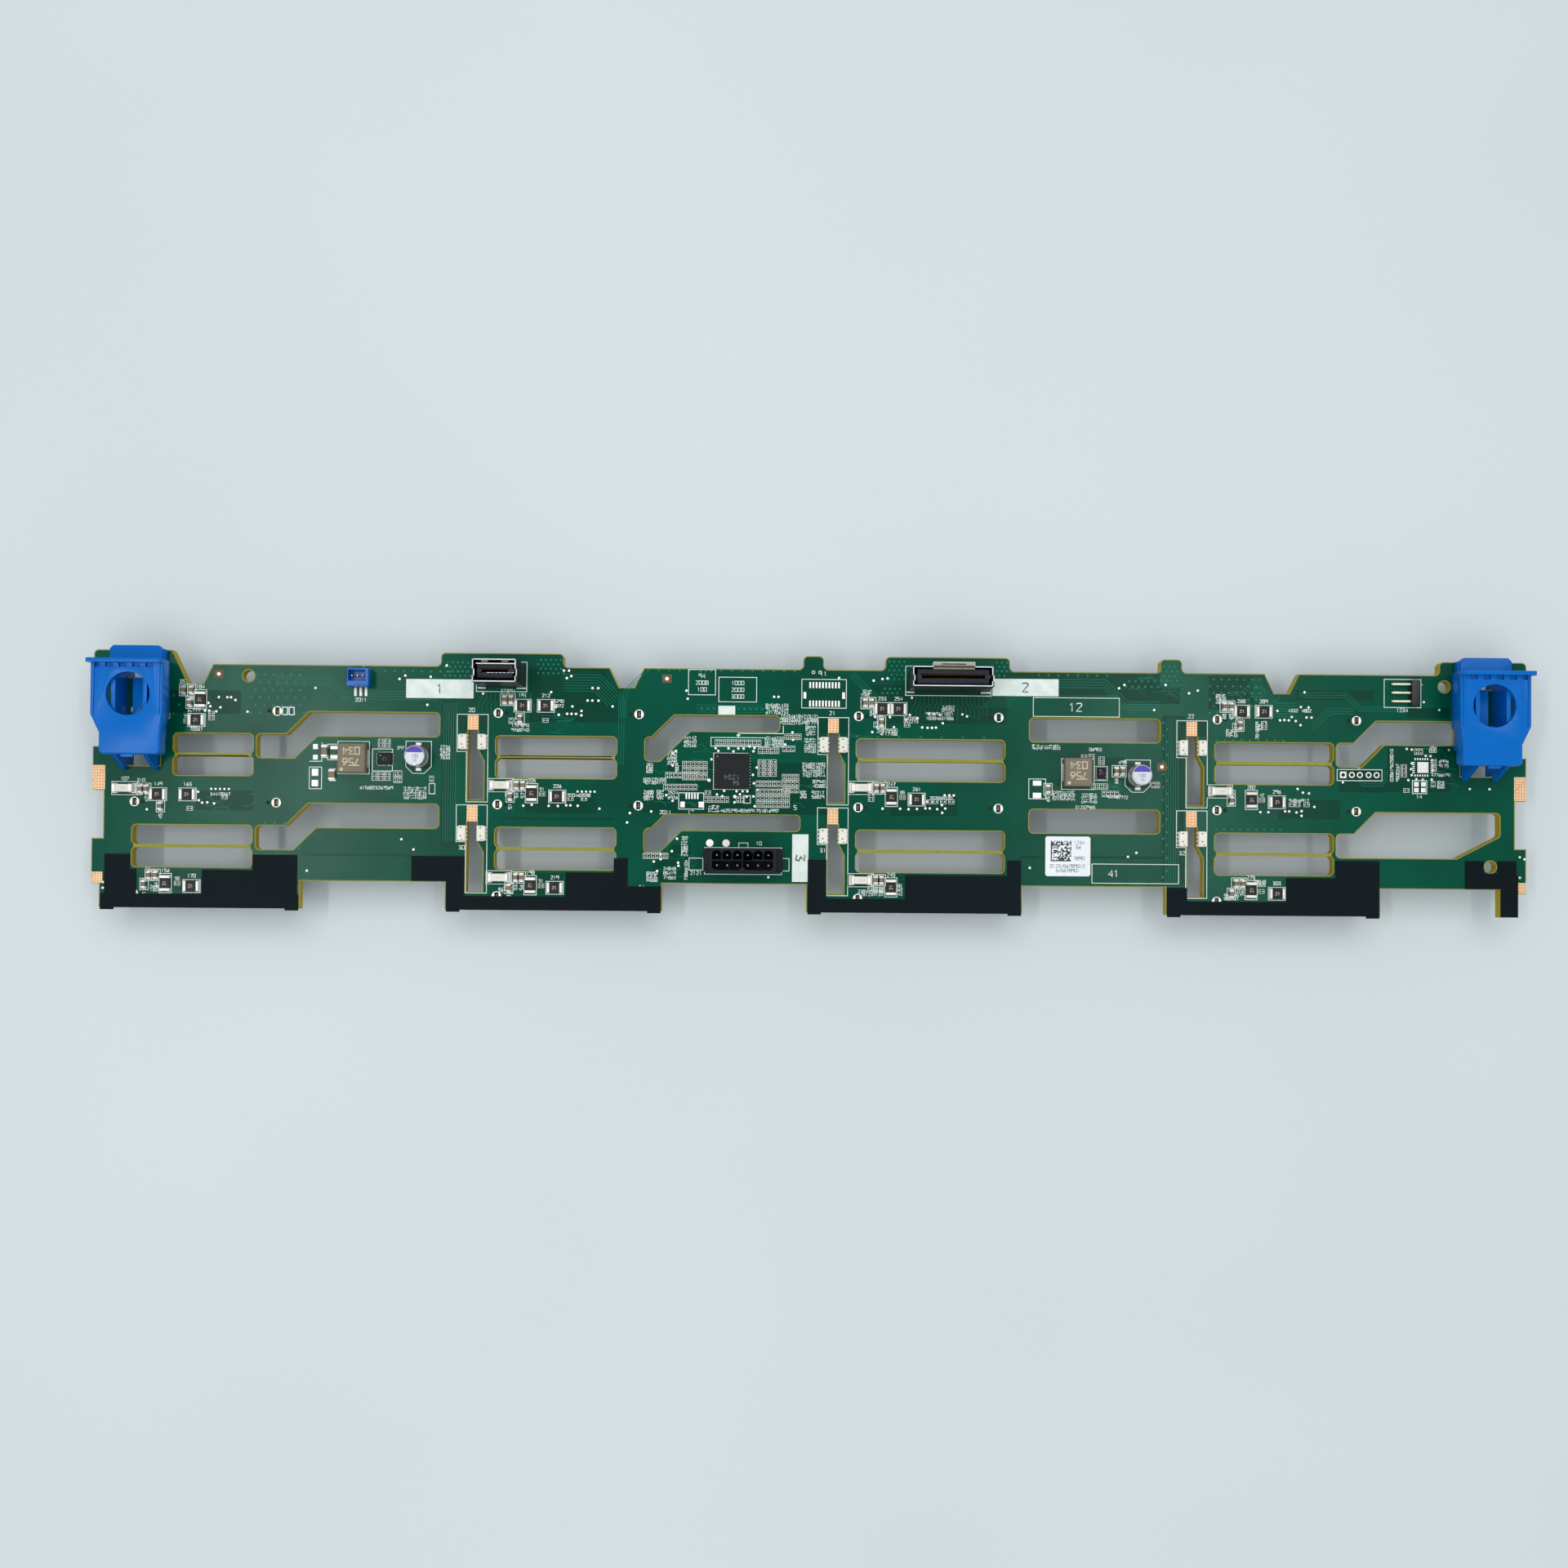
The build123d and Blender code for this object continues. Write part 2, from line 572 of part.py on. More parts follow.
def contact_spots():
    """Places along one socket: a signal run and a power run on one wall, and a second run opposite."""
    start = CONTACT_INSET - SOCKET_LENGTH / 2
    signals = [start + i * CONTACT_PITCH for i in range(SIGNAL_COUNT)]
    powers = [-start - i * CONTACT_PITCH for i in range(POWER_COUNT)]
    between = (signals[-1] + powers[-1]) / 2
    middle = (SIGNAL_COUNT - 1) / 2
    seconds = [between + (i - middle) * SECOND_PITCH for i in range(SIGNAL_COUNT)]
    return signals + powers, seconds


def contact_blade(side):
    """One contact: a spring blade that leaves the socket's wall towards its tip."""
    wall = side * SOCKET_WIDTH / 2
    tip = SOCKET_DEPTH - CONTACT_LENGTH
    with BuildPart() as blade:
        with BuildSketch(Plane.YZ):
            Polygon((wall, SOCKET_DEPTH), (wall, tip), (wall - side * CONTACT_THICK, tip), align=None)
        extrude(amount=CONTACT_WIDTH / 2, both=True)
    return blade.part


def socket_contacts():
    """All contacts of one socket."""
    near, far = contact_spots()
    with BuildPart() as contacts:
        with Locations(*[(x, 0, 0) for x in near]):
            add(contact_blade(-1))
        with Locations(*[(x, 0, 0) for x in far]):
            add(contact_blade(1))
    return contacts.part


def board_lock():
    """A flat metal peg: its root sits in the housing and its tip ends just short of the board's face."""
    height = LOCK_DEPTH + BOARD_THICK - LOCK_SHORT
    with BuildPart() as lock:
        Box(LOCK_THICK, LOCK_WIDTH, height, align=(Align.CENTER, Align.CENTER, Align.MIN))
    return lock.part


def make_drive_connectors():
    """Twelve housings and their contacts, one pair of files for each place in the grid."""
    housing, contacts = drive_housing(), socket_contacts()
    for row, y in enumerate(ROW_Y):
        for column, x in enumerate(COLUMN_X):
            number = row * COLUMNS + column + 1
            save(housing.moved(Location((x, y, 0))), f"drive_connector_{number}")
            save(contacts.moved(Location((x, y, 0))), f"drive_contacts_{number}")


def make_board_locks():
    """All twenty-four pegs, in the pockets of the drive connectors."""
    with BuildPart() as locks:
        with Locations(*[(x, y, BOARD_UNDER - LOCK_DEPTH) for x, y in lock_spots()]):
            add(board_lock())
    return locks.part


# Latches

def latch_plate_outline(shrink):
    """Outline of the thumb plate, seen from the front: wide above, narrower below on its outer side."""
    top = TOP - LATCH_TOP_GAP
    foot = top - LATCH_PLATE_LENGTH
    waist = top - LATCH_SHOULDER
    return [
        (-LATCH_INNER + shrink, top - shrink), (LATCH_OUTER - shrink, top - shrink),
        (LATCH_OUTER - shrink, waist), (LATCH_NECK - shrink, waist - LATCH_SLOPE),
        (LATCH_NECK - shrink, foot + shrink), (-LATCH_INNER + LATCH_INNER_STEP + shrink, foot + shrink),
        (-LATCH_INNER + LATCH_INNER_STEP + shrink, waist - LATCH_SLOPE), (-LATCH_INNER + shrink, waist),
    ]


def latch_web_profile():
    """Side view of a web, as distance along the board and height: toe, slope, plate seat and two legs."""
    seat = LATCH_HEIGHT - LATCH_PLATE_THICK
    reach = -BOARD_THICK - LATCH_SEAT - LATCH_BARB_HEIGHT
    (low_near, low_far), (high_near, high_far) = LATCH_CUTS
    gap = LATCH_CLEARANCE
    foot = TOP - LATCH_TOP_GAP - LATCH_PLATE_LENGTH
    toe = TOP - low_far - LATCH_TOE
    return [
        (toe, 0), (toe, LATCH_TOE), (foot + LATCH_WEB_SET, seat), (TOP - high_near - gap, seat),
        (TOP - high_near - gap, reach), (TOP - high_far + gap, reach), (TOP - high_far + gap, 0),
        (TOP - low_near - gap, 0), (TOP - low_near - gap, reach), (TOP - low_far + gap, reach),
        (TOP - low_far + gap, 0),
    ]


def latch_plate():
    """The thumb plate: rims below its edges, two thin ribs, a lip with pockets below it, and a round hole."""
    under_plate = LATCH_HEIGHT - LATCH_PLATE_THICK
    rim_foot = under_plate - LATCH_RIM_DEPTH
    top = TOP - LATCH_TOP_GAP
    foot = top - LATCH_PLATE_LENGTH
    with BuildPart() as latch:
        with BuildSketch(Plane.XY.offset(rim_foot)) as plate:
            Polygon(*latch_plate_outline(0), align=None)
            chamfer(plate.vertices().group_by(Axis.Y)[0], LATCH_CORNER)
        extrude(amount=LATCH_HEIGHT - rim_foot)
        chamfer(latch.faces().sort_by(Axis.Z)[-1].edges(), LATCH_EDGE)
        with BuildSketch(Plane.XY.offset(rim_foot)):
            Polygon(*latch_plate_outline(LATCH_RIM), align=None)
        extrude(amount=LATCH_RIM_DEPTH, mode=Mode.SUBTRACT)
        with BuildSketch(Plane.XY.offset(under_plate)):
            tongue_width, tongue_reach = LATCH_TONGUE
            span(-tongue_width / 2, tongue_width / 2, foot - tongue_reach, foot + LATCH_RIM)
        extrude(amount=LATCH_PLATE_THICK / 2)
        with BuildSketch(Plane.XY.offset(LATCH_HEIGHT)):
            for edge in (LATCH_RIB_INSET - LATCH_INNER, LATCH_OUTER - LATCH_RIB_INSET - LATCH_RIB_WIDTH):
                span(edge, edge + LATCH_RIB_WIDTH, top - LATCH_SHOULDER, top - LATCH_LIP_THICK / 2)
        extrude(amount=LATCH_RIB_HEIGHT)

        with BuildSketch(Plane.XZ.offset(-top)) as lip:
            span(-LATCH_INNER - LATCH_LIP_INNER, LATCH_OUTER + LATCH_LIP_OUTER,
                 under_plate - LATCH_LIP_SINK, LATCH_HEIGHT + LATCH_LIP_RISE)
            chamfer(lip.vertices().group_by(Axis.Y)[0], LATCH_LIP_BEVEL)
            chamfer(lip.vertices().group_by(Axis.Y)[-1], LATCH_LIP_CORNER)
        extrude(amount=LATCH_LIP_THICK)
        with BuildSketch(Plane.XY.offset(LATCH_HEIGHT)):
            row = top - LATCH_LIP_THICK - LATCH_POCKET_LENGTH / 2
            with Locations(((LATCH_OUTER - LATCH_INNER) / 2 + LATCH_POCKET_SHIFT, row)):
                with GridLocations(LATCH_POCKET_PITCH, 1, LATCH_POCKETS, 1):
                    Rectangle(LATCH_POCKET_WIDTH, LATCH_POCKET_LENGTH)
        extrude(amount=-LATCH_POCKET_DEPTH, mode=Mode.SUBTRACT)
        with BuildSketch(Plane.XY.offset(rim_foot)):
            with Locations((-LATCH_HOLE_SHIFT, top - LATCH_HOLE_DROP)):
                Circle(LATCH_HOLE_D / 2)
        extrude(amount=LATCH_HEIGHT - rim_foot, mode=Mode.SUBTRACT)
    return latch.part


def right_latch():
    """The right latch about its own centre line, standing on the plane of the board's face."""
    under_plate = LATCH_HEIGHT - LATCH_PLATE_THICK
    waist = TOP - LATCH_TOP_GAP - LATCH_SHOULDER
    base_foot = TOP - LATCH_CUTS[0][0]
    base_top = TOP - LATCH_CUTS[1][0]
    half_web = LATCH_WEB_SPACING / 2
    inner = half_web - LATCH_WEB_THICK / 2
    with BuildPart() as latch:
        add(latch_plate())
        with BuildSketch(Plane.YZ.offset(-half_web)) as web:
            Polygon(*latch_web_profile(), align=None)
        extrude(amount=LATCH_WEB_THICK / 2, both=True)
        extrude(web.sketch.moved(Location((2 * half_web, 0, 0))), amount=LATCH_WEB_THICK / 2, both=True)

        with BuildSketch():
            span(-LATCH_BASE_INNER, LATCH_BASE_OUTER, waist, base_top)
            span(LATCH_BASE_STEP - LATCH_BASE_INNER, LATCH_BASE_OUTER, base_foot, waist)
            span(LATCH_BASE_STEP - LATCH_BASE_INNER, -inner, base_top, TOP)
        extrude(amount=LATCH_BASE_THICK)
        with BuildSketch():
            span(-LATCH_BASE_INNER, -LATCH_BASE_INNER + LATCH_RIM, waist, base_top)
        extrude(amount=under_plate)
        with BuildSketch():
            slit_top = TOP - LATCH_CUTS[1][1] - LATCH_SLIT_GAP
            span(-inner, inner, slit_top, base_top - LATCH_TAIL_ROOT)
            span(inner - LATCH_SLIT_WIDTH, inner, slit_top - LATCH_SLIT_LENGTH, slit_top)
        extrude(amount=LATCH_BASE_THICK, mode=Mode.SUBTRACT)

        with BuildSketch(Plane.XY.offset(LATCH_TAIL_LIFT)) as tail:
            span(-LATCH_TAIL_INNER, LATCH_TAIL_OUTER, base_top - LATCH_TAIL_ROOT, TOP + LATCH_TAIL_REACH)
            chamfer(tail.vertices().group_by(Axis.Y)[-1], LATCH_TAIL_CORNER)
        extrude(amount=LATCH_TAIL_THICK)

        barb_top = -BOARD_THICK - LATCH_SEAT
        edge = half_web + LATCH_WEB_THICK / 2
        for side in (-1, 1):
            for near, far in LATCH_CUTS:
                along = (TOP - far + TOP - near) / 2
                length = far - near - 2 * LATCH_CLEARANCE
                with BuildSketch(Plane.XZ.offset(-along)):
                    Polygon((side * edge, barb_top), (side * (edge + LATCH_BARB), barb_top),
                            (side * edge, barb_top - LATCH_BARB_HEIGHT), align=None)
                extrude(amount=length / 2, both=True)
    return latch.part


def make_latches():
    """The right latch and its mirror image on the left."""
    latch = right_latch()
    pieces = {}
    for name, (x, side) in latch_places().items():
        turned = latch if side > 0 else mirror(latch, about=Plane.YZ)
        pieces[name] = turned.moved(Location((x, 0, BOARD_TOP)))
    return pieces


# Cable connectors

def make_signal_shell(length, width):
    """Folded metal shell: a thin rectangular tube, open above, with a notch at each end."""
    with BuildPart() as shell:
        with BuildSketch(Plane.XY.offset(BOARD_TOP)):
            Rectangle(length, width)
            Rectangle(length - 2 * SIGNAL_SHELL, width - 2 * SIGNAL_SHELL, mode=Mode.SUBTRACT)
        extrude(amount=SIGNAL_HEIGHT)
    return shell.part


def make_signal_body(length, width):
    """Moulded insulator inside the shell: a floor and two bars with the card slot between them."""
    inside = 2 * (SIGNAL_SHELL + SIGNAL_FIT)
    bars = 2 * SIGNAL_BAR + SIGNAL_SLOT
    with BuildPart() as body:
        with BuildSketch(Plane.XY.offset(BOARD_TOP)):
            Rectangle(length - inside, width - inside)
        extrude(amount=SIGNAL_FLOOR)
        with BuildSketch(Plane.XY.offset(BOARD_TOP)):
            Rectangle(length - inside - 2 * SIGNAL_RECESS, bars)
        extrude(amount=SIGNAL_HEIGHT - SIGNAL_RECESS)
        with BuildSketch(Plane.XY.offset(BOARD_TOP + SIGNAL_FLOOR)):
            Rectangle(length - inside - 4 * SIGNAL_RECESS, SIGNAL_SLOT)
        extrude(amount=SIGNAL_HEIGHT, mode=Mode.SUBTRACT)
    return body.part


def make_signal_connectors():
    """Both signal connectors, each a shell and a body."""
    for name, (*place, length, width) in SIGNAL_SOCKETS.items():
        at = Location((*spot(*place), 0))
        save(make_signal_shell(length, width).moved(at), f"signal_shell_{name}")
        save(make_signal_body(length, width).moved(at), f"signal_body_{name}")


def header_centres():
    """Column and row centre lines of the power header's cells."""
    across = [(i - (HEADER_WAYS - 1) / 2) * HEADER_PITCH for i in range(HEADER_WAYS)]
    return across, (HEADER_PITCH / 2, -HEADER_PITCH / 2)


def make_power_header():
    """Moulded body: six D-shaped cells above, two long cells below, and an ear at each end."""
    across, rows = header_centres()
    cell = HEADER_PITCH - HEADER_RIB
    length = HEADER_WAYS * HEADER_PITCH + 2 * HEADER_END - HEADER_RIB
    width = 2 * HEADER_PITCH + 2 * HEADER_WALL - HEADER_RIB
    long_cell = HEADER_WAYS / 2 * HEADER_PITCH - HEADER_RIB
    with BuildPart() as header:
        with BuildSketch(Plane.XY.offset(BOARD_TOP)):
            Rectangle(length, width)
        extrude(amount=HEADER_HEIGHT)
        with BuildSketch(Plane.XY.offset(BOARD_TOP)):
            Rectangle(length + 2 * HEADER_EAR, width)
        extrude(amount=HEADER_EAR_HEIGHT)
        with BuildSketch(Plane.XY.offset(BOARD_TOP + HEADER_HEIGHT)) as upper:
            with Locations(*[(x, rows[0]) for x in across]):
                Rectangle(cell, cell)
            tops = [v for v in upper.vertices() if v.Y > rows[0]]
            chamfer(tops, HEADER_CELL_CHAMFER)
        extrude(amount=-HEADER_CELL_DEPTH, mode=Mode.SUBTRACT)
        with BuildSketch(Plane.XY.offset(BOARD_TOP + HEADER_HEIGHT)) as lower:
            with Locations(*[(side * (long_cell + HEADER_RIB) / 2, rows[1]) for side in (-1, 1)]):
                Rectangle(long_cell, cell)
            chamfer([v for v in lower.vertices() if v.Y < rows[1]], HEADER_CELL_CHAMFER)
        extrude(amount=-HEADER_CELL_DEPTH, mode=Mode.SUBTRACT)
    return header.part


def make_power_pins():
    """Twelve square pins that stand on the floors of the cells."""
    across, rows = header_centres()
    floor = HEADER_HEIGHT - HEADER_CELL_DEPTH
    spots = [(x, y) for x in across for y in rows]
    return blocks(spots, (HEADER_PIN, HEADER_PIN, HEADER_PIN_TOP - floor), BOARD_TOP + floor)


def make_small_socket():
    """Small moulded socket with one pocket."""
    with BuildPart() as socket:
        with Locations((0, 0, BOARD_TOP)):
            Box(*SMALL_SOCKET, align=(Align.CENTER, Align.CENTER, Align.MIN))
        chamfer(socket.edges().filter_by(Axis.Z), SMALL_CORNER)
        with Locations((*SMALL_POCKET_SHIFT, BOARD_TOP + SMALL_SOCKET[2])):
            Box(*SMALL_POCKET, align=(Align.CENTER, Align.CENTER, Align.MAX), mode=Mode.SUBTRACT)
    return socket.part


def make_small_leads():
    """Three flat leads that come out at the foot of the socket."""
    x, y = spot(*SMALL_SOCKET_AT)
    out = y - SMALL_SOCKET[1] / 2 - SMALL_LEAD[1] / 2
    return blocks([(x + i * SMALL_LEAD_PITCH, out) for i in (-1, 0, 1)], SMALL_LEAD, BOARD_TOP)


def angle_pin_spots():
    """Where the three right-angle pins lie."""
    x, y = spot(*ANGLE_HEADER_AT)
    return [(x, y + i * ANGLE_PITCH) for i in (-1, 0, 1)]


def make_angle_base():
    """Black base of the right-angle header."""
    x, y = spot(*ANGLE_HEADER_AT)
    with BuildPart() as base:
        with Locations((x, y, BOARD_TOP)):
            Box(*ANGLE_BASE, align=(Align.CENTER, Align.CENTER, Align.MIN))
        chamfer(base.edges().filter_by(Axis.Z), ANGLE_CORNER)
    return base.part


def make_angle_pins():
    """Three pins that leave the base along the board, half way up it."""
    reach = (ANGLE_REACH, ANGLE_PIN, ANGLE_PIN)
    shift = (ANGLE_BASE[0] + ANGLE_REACH) / 2
    spots = [(x - shift, y) for x, y in angle_pin_spots()]
    return blocks(spots, reach, BOARD_TOP + (ANGLE_BASE[2] - ANGLE_PIN) / 2)


# Chips and passives

def make_chip(length, width, height, bevel):
    """A moulded package with a bevel round its top."""
    with BuildPart() as chip:
        with Locations((0, 0, BOARD_TOP)):
            Box(length, width, height, align=(Align.CENTER, Align.CENTER, Align.MIN))
        chamfer(chip.faces().sort_by(Axis.Z)[-1].edges(), bevel)
    return chip.part


def make_can():
    """Rolled aluminium can with a bevel round its top."""
    with BuildPart() as can:
        with BuildSketch(Plane.XY.offset(BOARD_TOP + CAN_BASE_HEIGHT)):
            Circle(CAN_D / 2)
        extrude(amount=CAN_HEIGHT - CAN_BASE_HEIGHT)
        chamfer(can.faces().sort_by(Axis.Z)[-1].edges(), CAN_EDGE)
    return can.part


def make_can_base():
    """Square plastic base with two bevelled corners."""
    with BuildPart() as base:
        with BuildSketch(Plane.XY.offset(BOARD_TOP)) as plan:
            Rectangle(CAN_BASE, CAN_BASE)
            chamfer(plan.vertices().group_by(Axis.Y)[0], CAN_BASE_BEVEL)
        extrude(amount=CAN_BASE_HEIGHT)
    return base.part


def make_fuses():
    """Six fuses: a ceramic body between two square end caps."""
    length, width, height = FUSE_SIZE
    spots = [(*spot(*place), BOARD_TOP) for place in FUSE_SPOTS]
    bottom = (Align.CENTER, Align.CENTER, Align.MIN)
    with BuildPart() as fuses:
        with Locations(*spots):
            with Locations((0, 0, FUSE_NECK)):
                Box(length, width - 2 * FUSE_NECK, height - 2 * FUSE_NECK, align=bottom)
            with Locations(((FUSE_CAP - length) / 2, 0, 0), ((length - FUSE_CAP) / 2, 0, 0)):
                Box(FUSE_CAP, width, height, align=bottom)
    return fuses.part


def make_sense_resistors():
    """All current-sense resistors, along and across the board."""
    along = [(*spot(*place), BOARD_TOP) for place in SENSE_ALONG]
    across = [(*spot(*place), BOARD_TOP) for place in SENSE_ACROSS]
    length, width, height = SENSE_SIZE
    bottom = (Align.CENTER, Align.CENTER, Align.MIN)
    with BuildPart() as resistors:
        with Locations(*along):
            Box(length, width, height, align=bottom)
        with Locations(*across):
            Box(width, length, height, align=bottom)
    return resistors.part


def make_indicators():
    """White blocks on both sides of the narrow part of each stepped slot."""
    width, length, height = INDICATOR_SIZE
    out = INDICATOR_GAP + width / 2
    low = GUIDE_SLOT_DROP + INDICATOR_DROP + length / 2
    spots = []
    for column in range(1, COLUMNS):
        for row in range(ROWS - 1):
            x, y = spot(column, row, -GUIDE_SLOT_LEFT, -low)
            spots += [(x - out, y, BOARD_TOP), (x + GUIDE_SLOT_WIDTH + out, y, BOARD_TOP)]
    with BuildPart() as group:
        with Locations(*spots):
            Box(width, length, height, align=(Align.CENTER, Align.CENTER, Align.MIN))
    return group.part


def make_chips():
    """Controller, regulators, inductors and can capacitors, each in its own file."""
    packages = {"controller_chip": (CONTROLLER, CHIP_BEVEL)}
    packages.update({f"regulator_{i}": (chip, CHIP_BEVEL) for i, chip in REGULATORS.items()})
    packages.update({f"inductor_{i}": (coil, INDUCTOR_BEVEL) for i, coil in INDUCTORS.items()})
    for name, ((column, row, across, up, *size), bevel) in packages.items():
        at = Location((*spot(column, row, across, up), 0))
        save(make_chip(*size, bevel).moved(at), name)
    for name, place in CANS.items():
        at = Location((*spot(*place), 0))
        save(make_can().moved(at), f"capacitor_can_{name}")
        save(make_can_base().moved(at), f"capacitor_base_{name}")


save(make_board(), "board")
for name, (column, runs) in FILMS.items():
    save(make_film(column, runs), f"film_{name}")
save(make_end_film(), "film_5")
make_drive_connectors()
save(make_board_locks(), "board_locks")
for name, piece in make_latches().items():
    save(piece, f"latch_{name}")
make_signal_connectors()
save(make_power_header().moved(Location((*spot(*HEADER_AT), 0))), "power_header")
save(make_power_pins().moved(Location((*spot(*HEADER_AT), 0))), "power_pins")
save(make_small_socket().moved(Location((*spot(*SMALL_SOCKET_AT), 0))), "small_socket")
save(make_small_leads(), "small_leads")
save(make_angle_base(), "angle_header_base")
save(make_angle_pins(), "angle_header_pins")
make_chips()
save(make_fuses(), "fuses")
save(make_sense_resistors(), "sense_resistors")
save(blocks([spot(*place) for place in CERAMIC_SPOTS], CERAMIC_SIZE, BOARD_TOP), "ceramic_capacitors")
save(make_indicators(), "indicator_blocks")
save(blocks([spot(*LABEL_AT)], LABEL_SIZE, BOARD_TOP), "blank_label")
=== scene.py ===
import random
from bisect import bisect
from math import ceil, cos, hypot, pi, radians, sin

import bmesh
import bpy
from mathutils import Color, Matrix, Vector


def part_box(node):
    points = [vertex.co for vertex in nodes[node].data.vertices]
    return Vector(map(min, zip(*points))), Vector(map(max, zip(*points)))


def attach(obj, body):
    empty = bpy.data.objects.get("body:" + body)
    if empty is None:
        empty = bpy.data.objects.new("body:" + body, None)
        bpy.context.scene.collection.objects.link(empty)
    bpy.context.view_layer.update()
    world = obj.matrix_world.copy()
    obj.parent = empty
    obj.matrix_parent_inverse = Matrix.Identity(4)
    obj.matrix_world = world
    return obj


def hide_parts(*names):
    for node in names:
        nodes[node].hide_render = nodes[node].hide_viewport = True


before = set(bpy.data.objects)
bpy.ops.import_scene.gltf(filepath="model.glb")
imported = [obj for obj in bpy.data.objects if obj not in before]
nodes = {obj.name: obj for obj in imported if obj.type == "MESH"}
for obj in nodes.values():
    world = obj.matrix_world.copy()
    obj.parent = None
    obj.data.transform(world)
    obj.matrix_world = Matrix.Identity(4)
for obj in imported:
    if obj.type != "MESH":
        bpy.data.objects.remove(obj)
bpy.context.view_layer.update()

# Board panel.
# A routed panel of glass-fibre laminate, 3.2 mm thick, with a green solder mask on both faces.
# The router leaves the laminate bare on every edge and for a hair's breadth beside it.
MM = 0.001


def centre(name):
    """Middle of a CAD node's box."""
    low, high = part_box(name)
    return (low + high) / 2


grid = (centre("drive_connector_6") + centre("drive_connector_7")) / 2
board_low, board_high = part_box("board")


def link(obj):
    """Put an object into the scene."""
    bpy.context.collection.objects.link(obj)


def paint(code):
    """A colour from its six-figure code."""
    parts = [int(code[i:i + 2], 16) / 255 for i in (0, 2, 4)]
    return (*Color(parts).from_srgb_to_scene_linear(), 1.0)


def new_group(name, inputs, outputs):
    """An empty shader node group with named sockets."""
    group = bpy.data.node_groups.new(name, "ShaderNodeTree")
    for label, kind, value in inputs:
        socket = group.interface.new_socket(label, in_out="INPUT", socket_type=kind)
        if value is not None:
            socket.default_value = value
    for label, kind in outputs:
        group.interface.new_socket(label, in_out="OUTPUT", socket_type=kind)
    return group, group.nodes.new("NodeGroupInput"), group.nodes.new("NodeGroupOutput")


def noise(tree, place, scale, detail, roughness):
    """A noise texture whose scale comes from a socket."""
    node = tree.nodes.new("ShaderNodeTexNoise")
    node.inputs["Detail"].default_value = detail
    node.inputs["Roughness"].default_value = roughness
    tree.links.new(place, node.inputs["Vector"])
    tree.links.new(scale, node.inputs["Scale"])
    return node.outputs["Fac"]


def ranged(tree, value, low, high, to_low=0.0, to_high=1.0):
    """A value stretched from one range to another."""
    node = tree.nodes.new("ShaderNodeMapRange")
    for socket, number in zip(node.inputs[1:5], (low, high, to_low, to_high)):
        socket.default_value = number
    tree.links.new(value, node.inputs["Value"])
    return node.outputs["Result"]


def blended(tree, factor, first, second):
    """Two colours mixed by a factor; each is a socket or a colour."""
    node = tree.nodes.new("ShaderNodeMix")
    node.data_type = "RGBA"
    tree.links.new(factor, node.inputs["Factor"])
    for value, socket in ((first, node.inputs[6]), (second, node.inputs[7])):
        if isinstance(value, tuple):
            socket.default_value = value
        else:
            tree.links.new(value, socket)
    return node.outputs[2]


def sum_of(tree, operation, first, second):
    """A sum, product or other figure of two values; each is a socket or a number."""
    node = tree.nodes.new("ShaderNodeMath")
    node.operation = operation
    for value, socket in ((first, node.inputs[0]), (second, node.inputs[1])):
        if isinstance(value, (int, float)):
            socket.default_value = value
        else:
            tree.links.new(value, socket)
    return node.outputs["Value"]


# Clouding and grain that every finish shares
mottle, given, put = new_group(
    "mottle",
    [("Vector", "NodeSocketVector", None), ("Cloud Scale", "NodeSocketFloat", 60.0),
     ("Grain Scale", "NodeSocketFloat", 900.0)],
    [("Cloud", "NodeSocketFloat"), ("Grain", "NodeSocketFloat"), ("Flecks", "NodeSocketFloat")])
cloud = noise(mottle, given.outputs["Vector"], given.outputs["Cloud Scale"], 3.0, 0.5)
grain = noise(mottle, given.outputs["Vector"], given.outputs["Grain Scale"], 4.0, 0.6)
mottle.links.new(ranged(mottle, cloud, 0.3, 0.7), put.inputs["Cloud"])
mottle.links.new(ranged(mottle, grain, 0.25, 0.75), put.inputs["Grain"])
mottle.links.new(ranged(mottle, grain, 0.6, 0.7), put.inputs["Flecks"])


def surface(name, clouds, grains):
    """A new material with its shader, its object coordinates and the shared clouding."""
    material = bpy.data.materials.new(name)
    material.use_nodes = True
    tree = material.node_tree
    place = tree.nodes.new("ShaderNodeTexCoord").outputs["Object"]
    marks = tree.nodes.new("ShaderNodeGroup")
    marks.node_tree = mottle
    marks.inputs["Cloud Scale"].default_value = clouds
    marks.inputs["Grain Scale"].default_value = grains
    tree.links.new(place, marks.inputs["Vector"])
    return material, tree, tree.nodes["Principled BSDF"], place, marks


def relief(tree, shader, height, depth):
    """Bump from a height value, depth in millimetres."""
    node = tree.nodes.new("ShaderNodeBump")
    node.inputs["Distance"].default_value = depth * MM
    tree.links.new(height, node.inputs["Height"])
    tree.links.new(node.outputs["Normal"], shader.inputs["Normal"])


def coated(name, colour, deep, low, high, clouds, grains, mixed_by="Cloud", gloss_by="Cloud"):
    """A finish whose colour and gloss follow the shared marks, open to further work."""
    material, tree, shader, _, marks = surface(name, clouds, grains)
    marks = marks.outputs
    both = sum_of(tree, "MULTIPLY", marks["Cloud"], marks["Grain"]) if mixed_by == "Both" else None
    mixed = blended(tree, both or marks[mixed_by], paint(colour), paint(deep))
    tree.links.new(mixed, shader.inputs["Base Color"])
    gloss = ranged(tree, marks[gloss_by], 0.0, 1.0, low, high)
    tree.links.new(gloss, shader.inputs["Roughness"])
    return material, tree, shader, marks


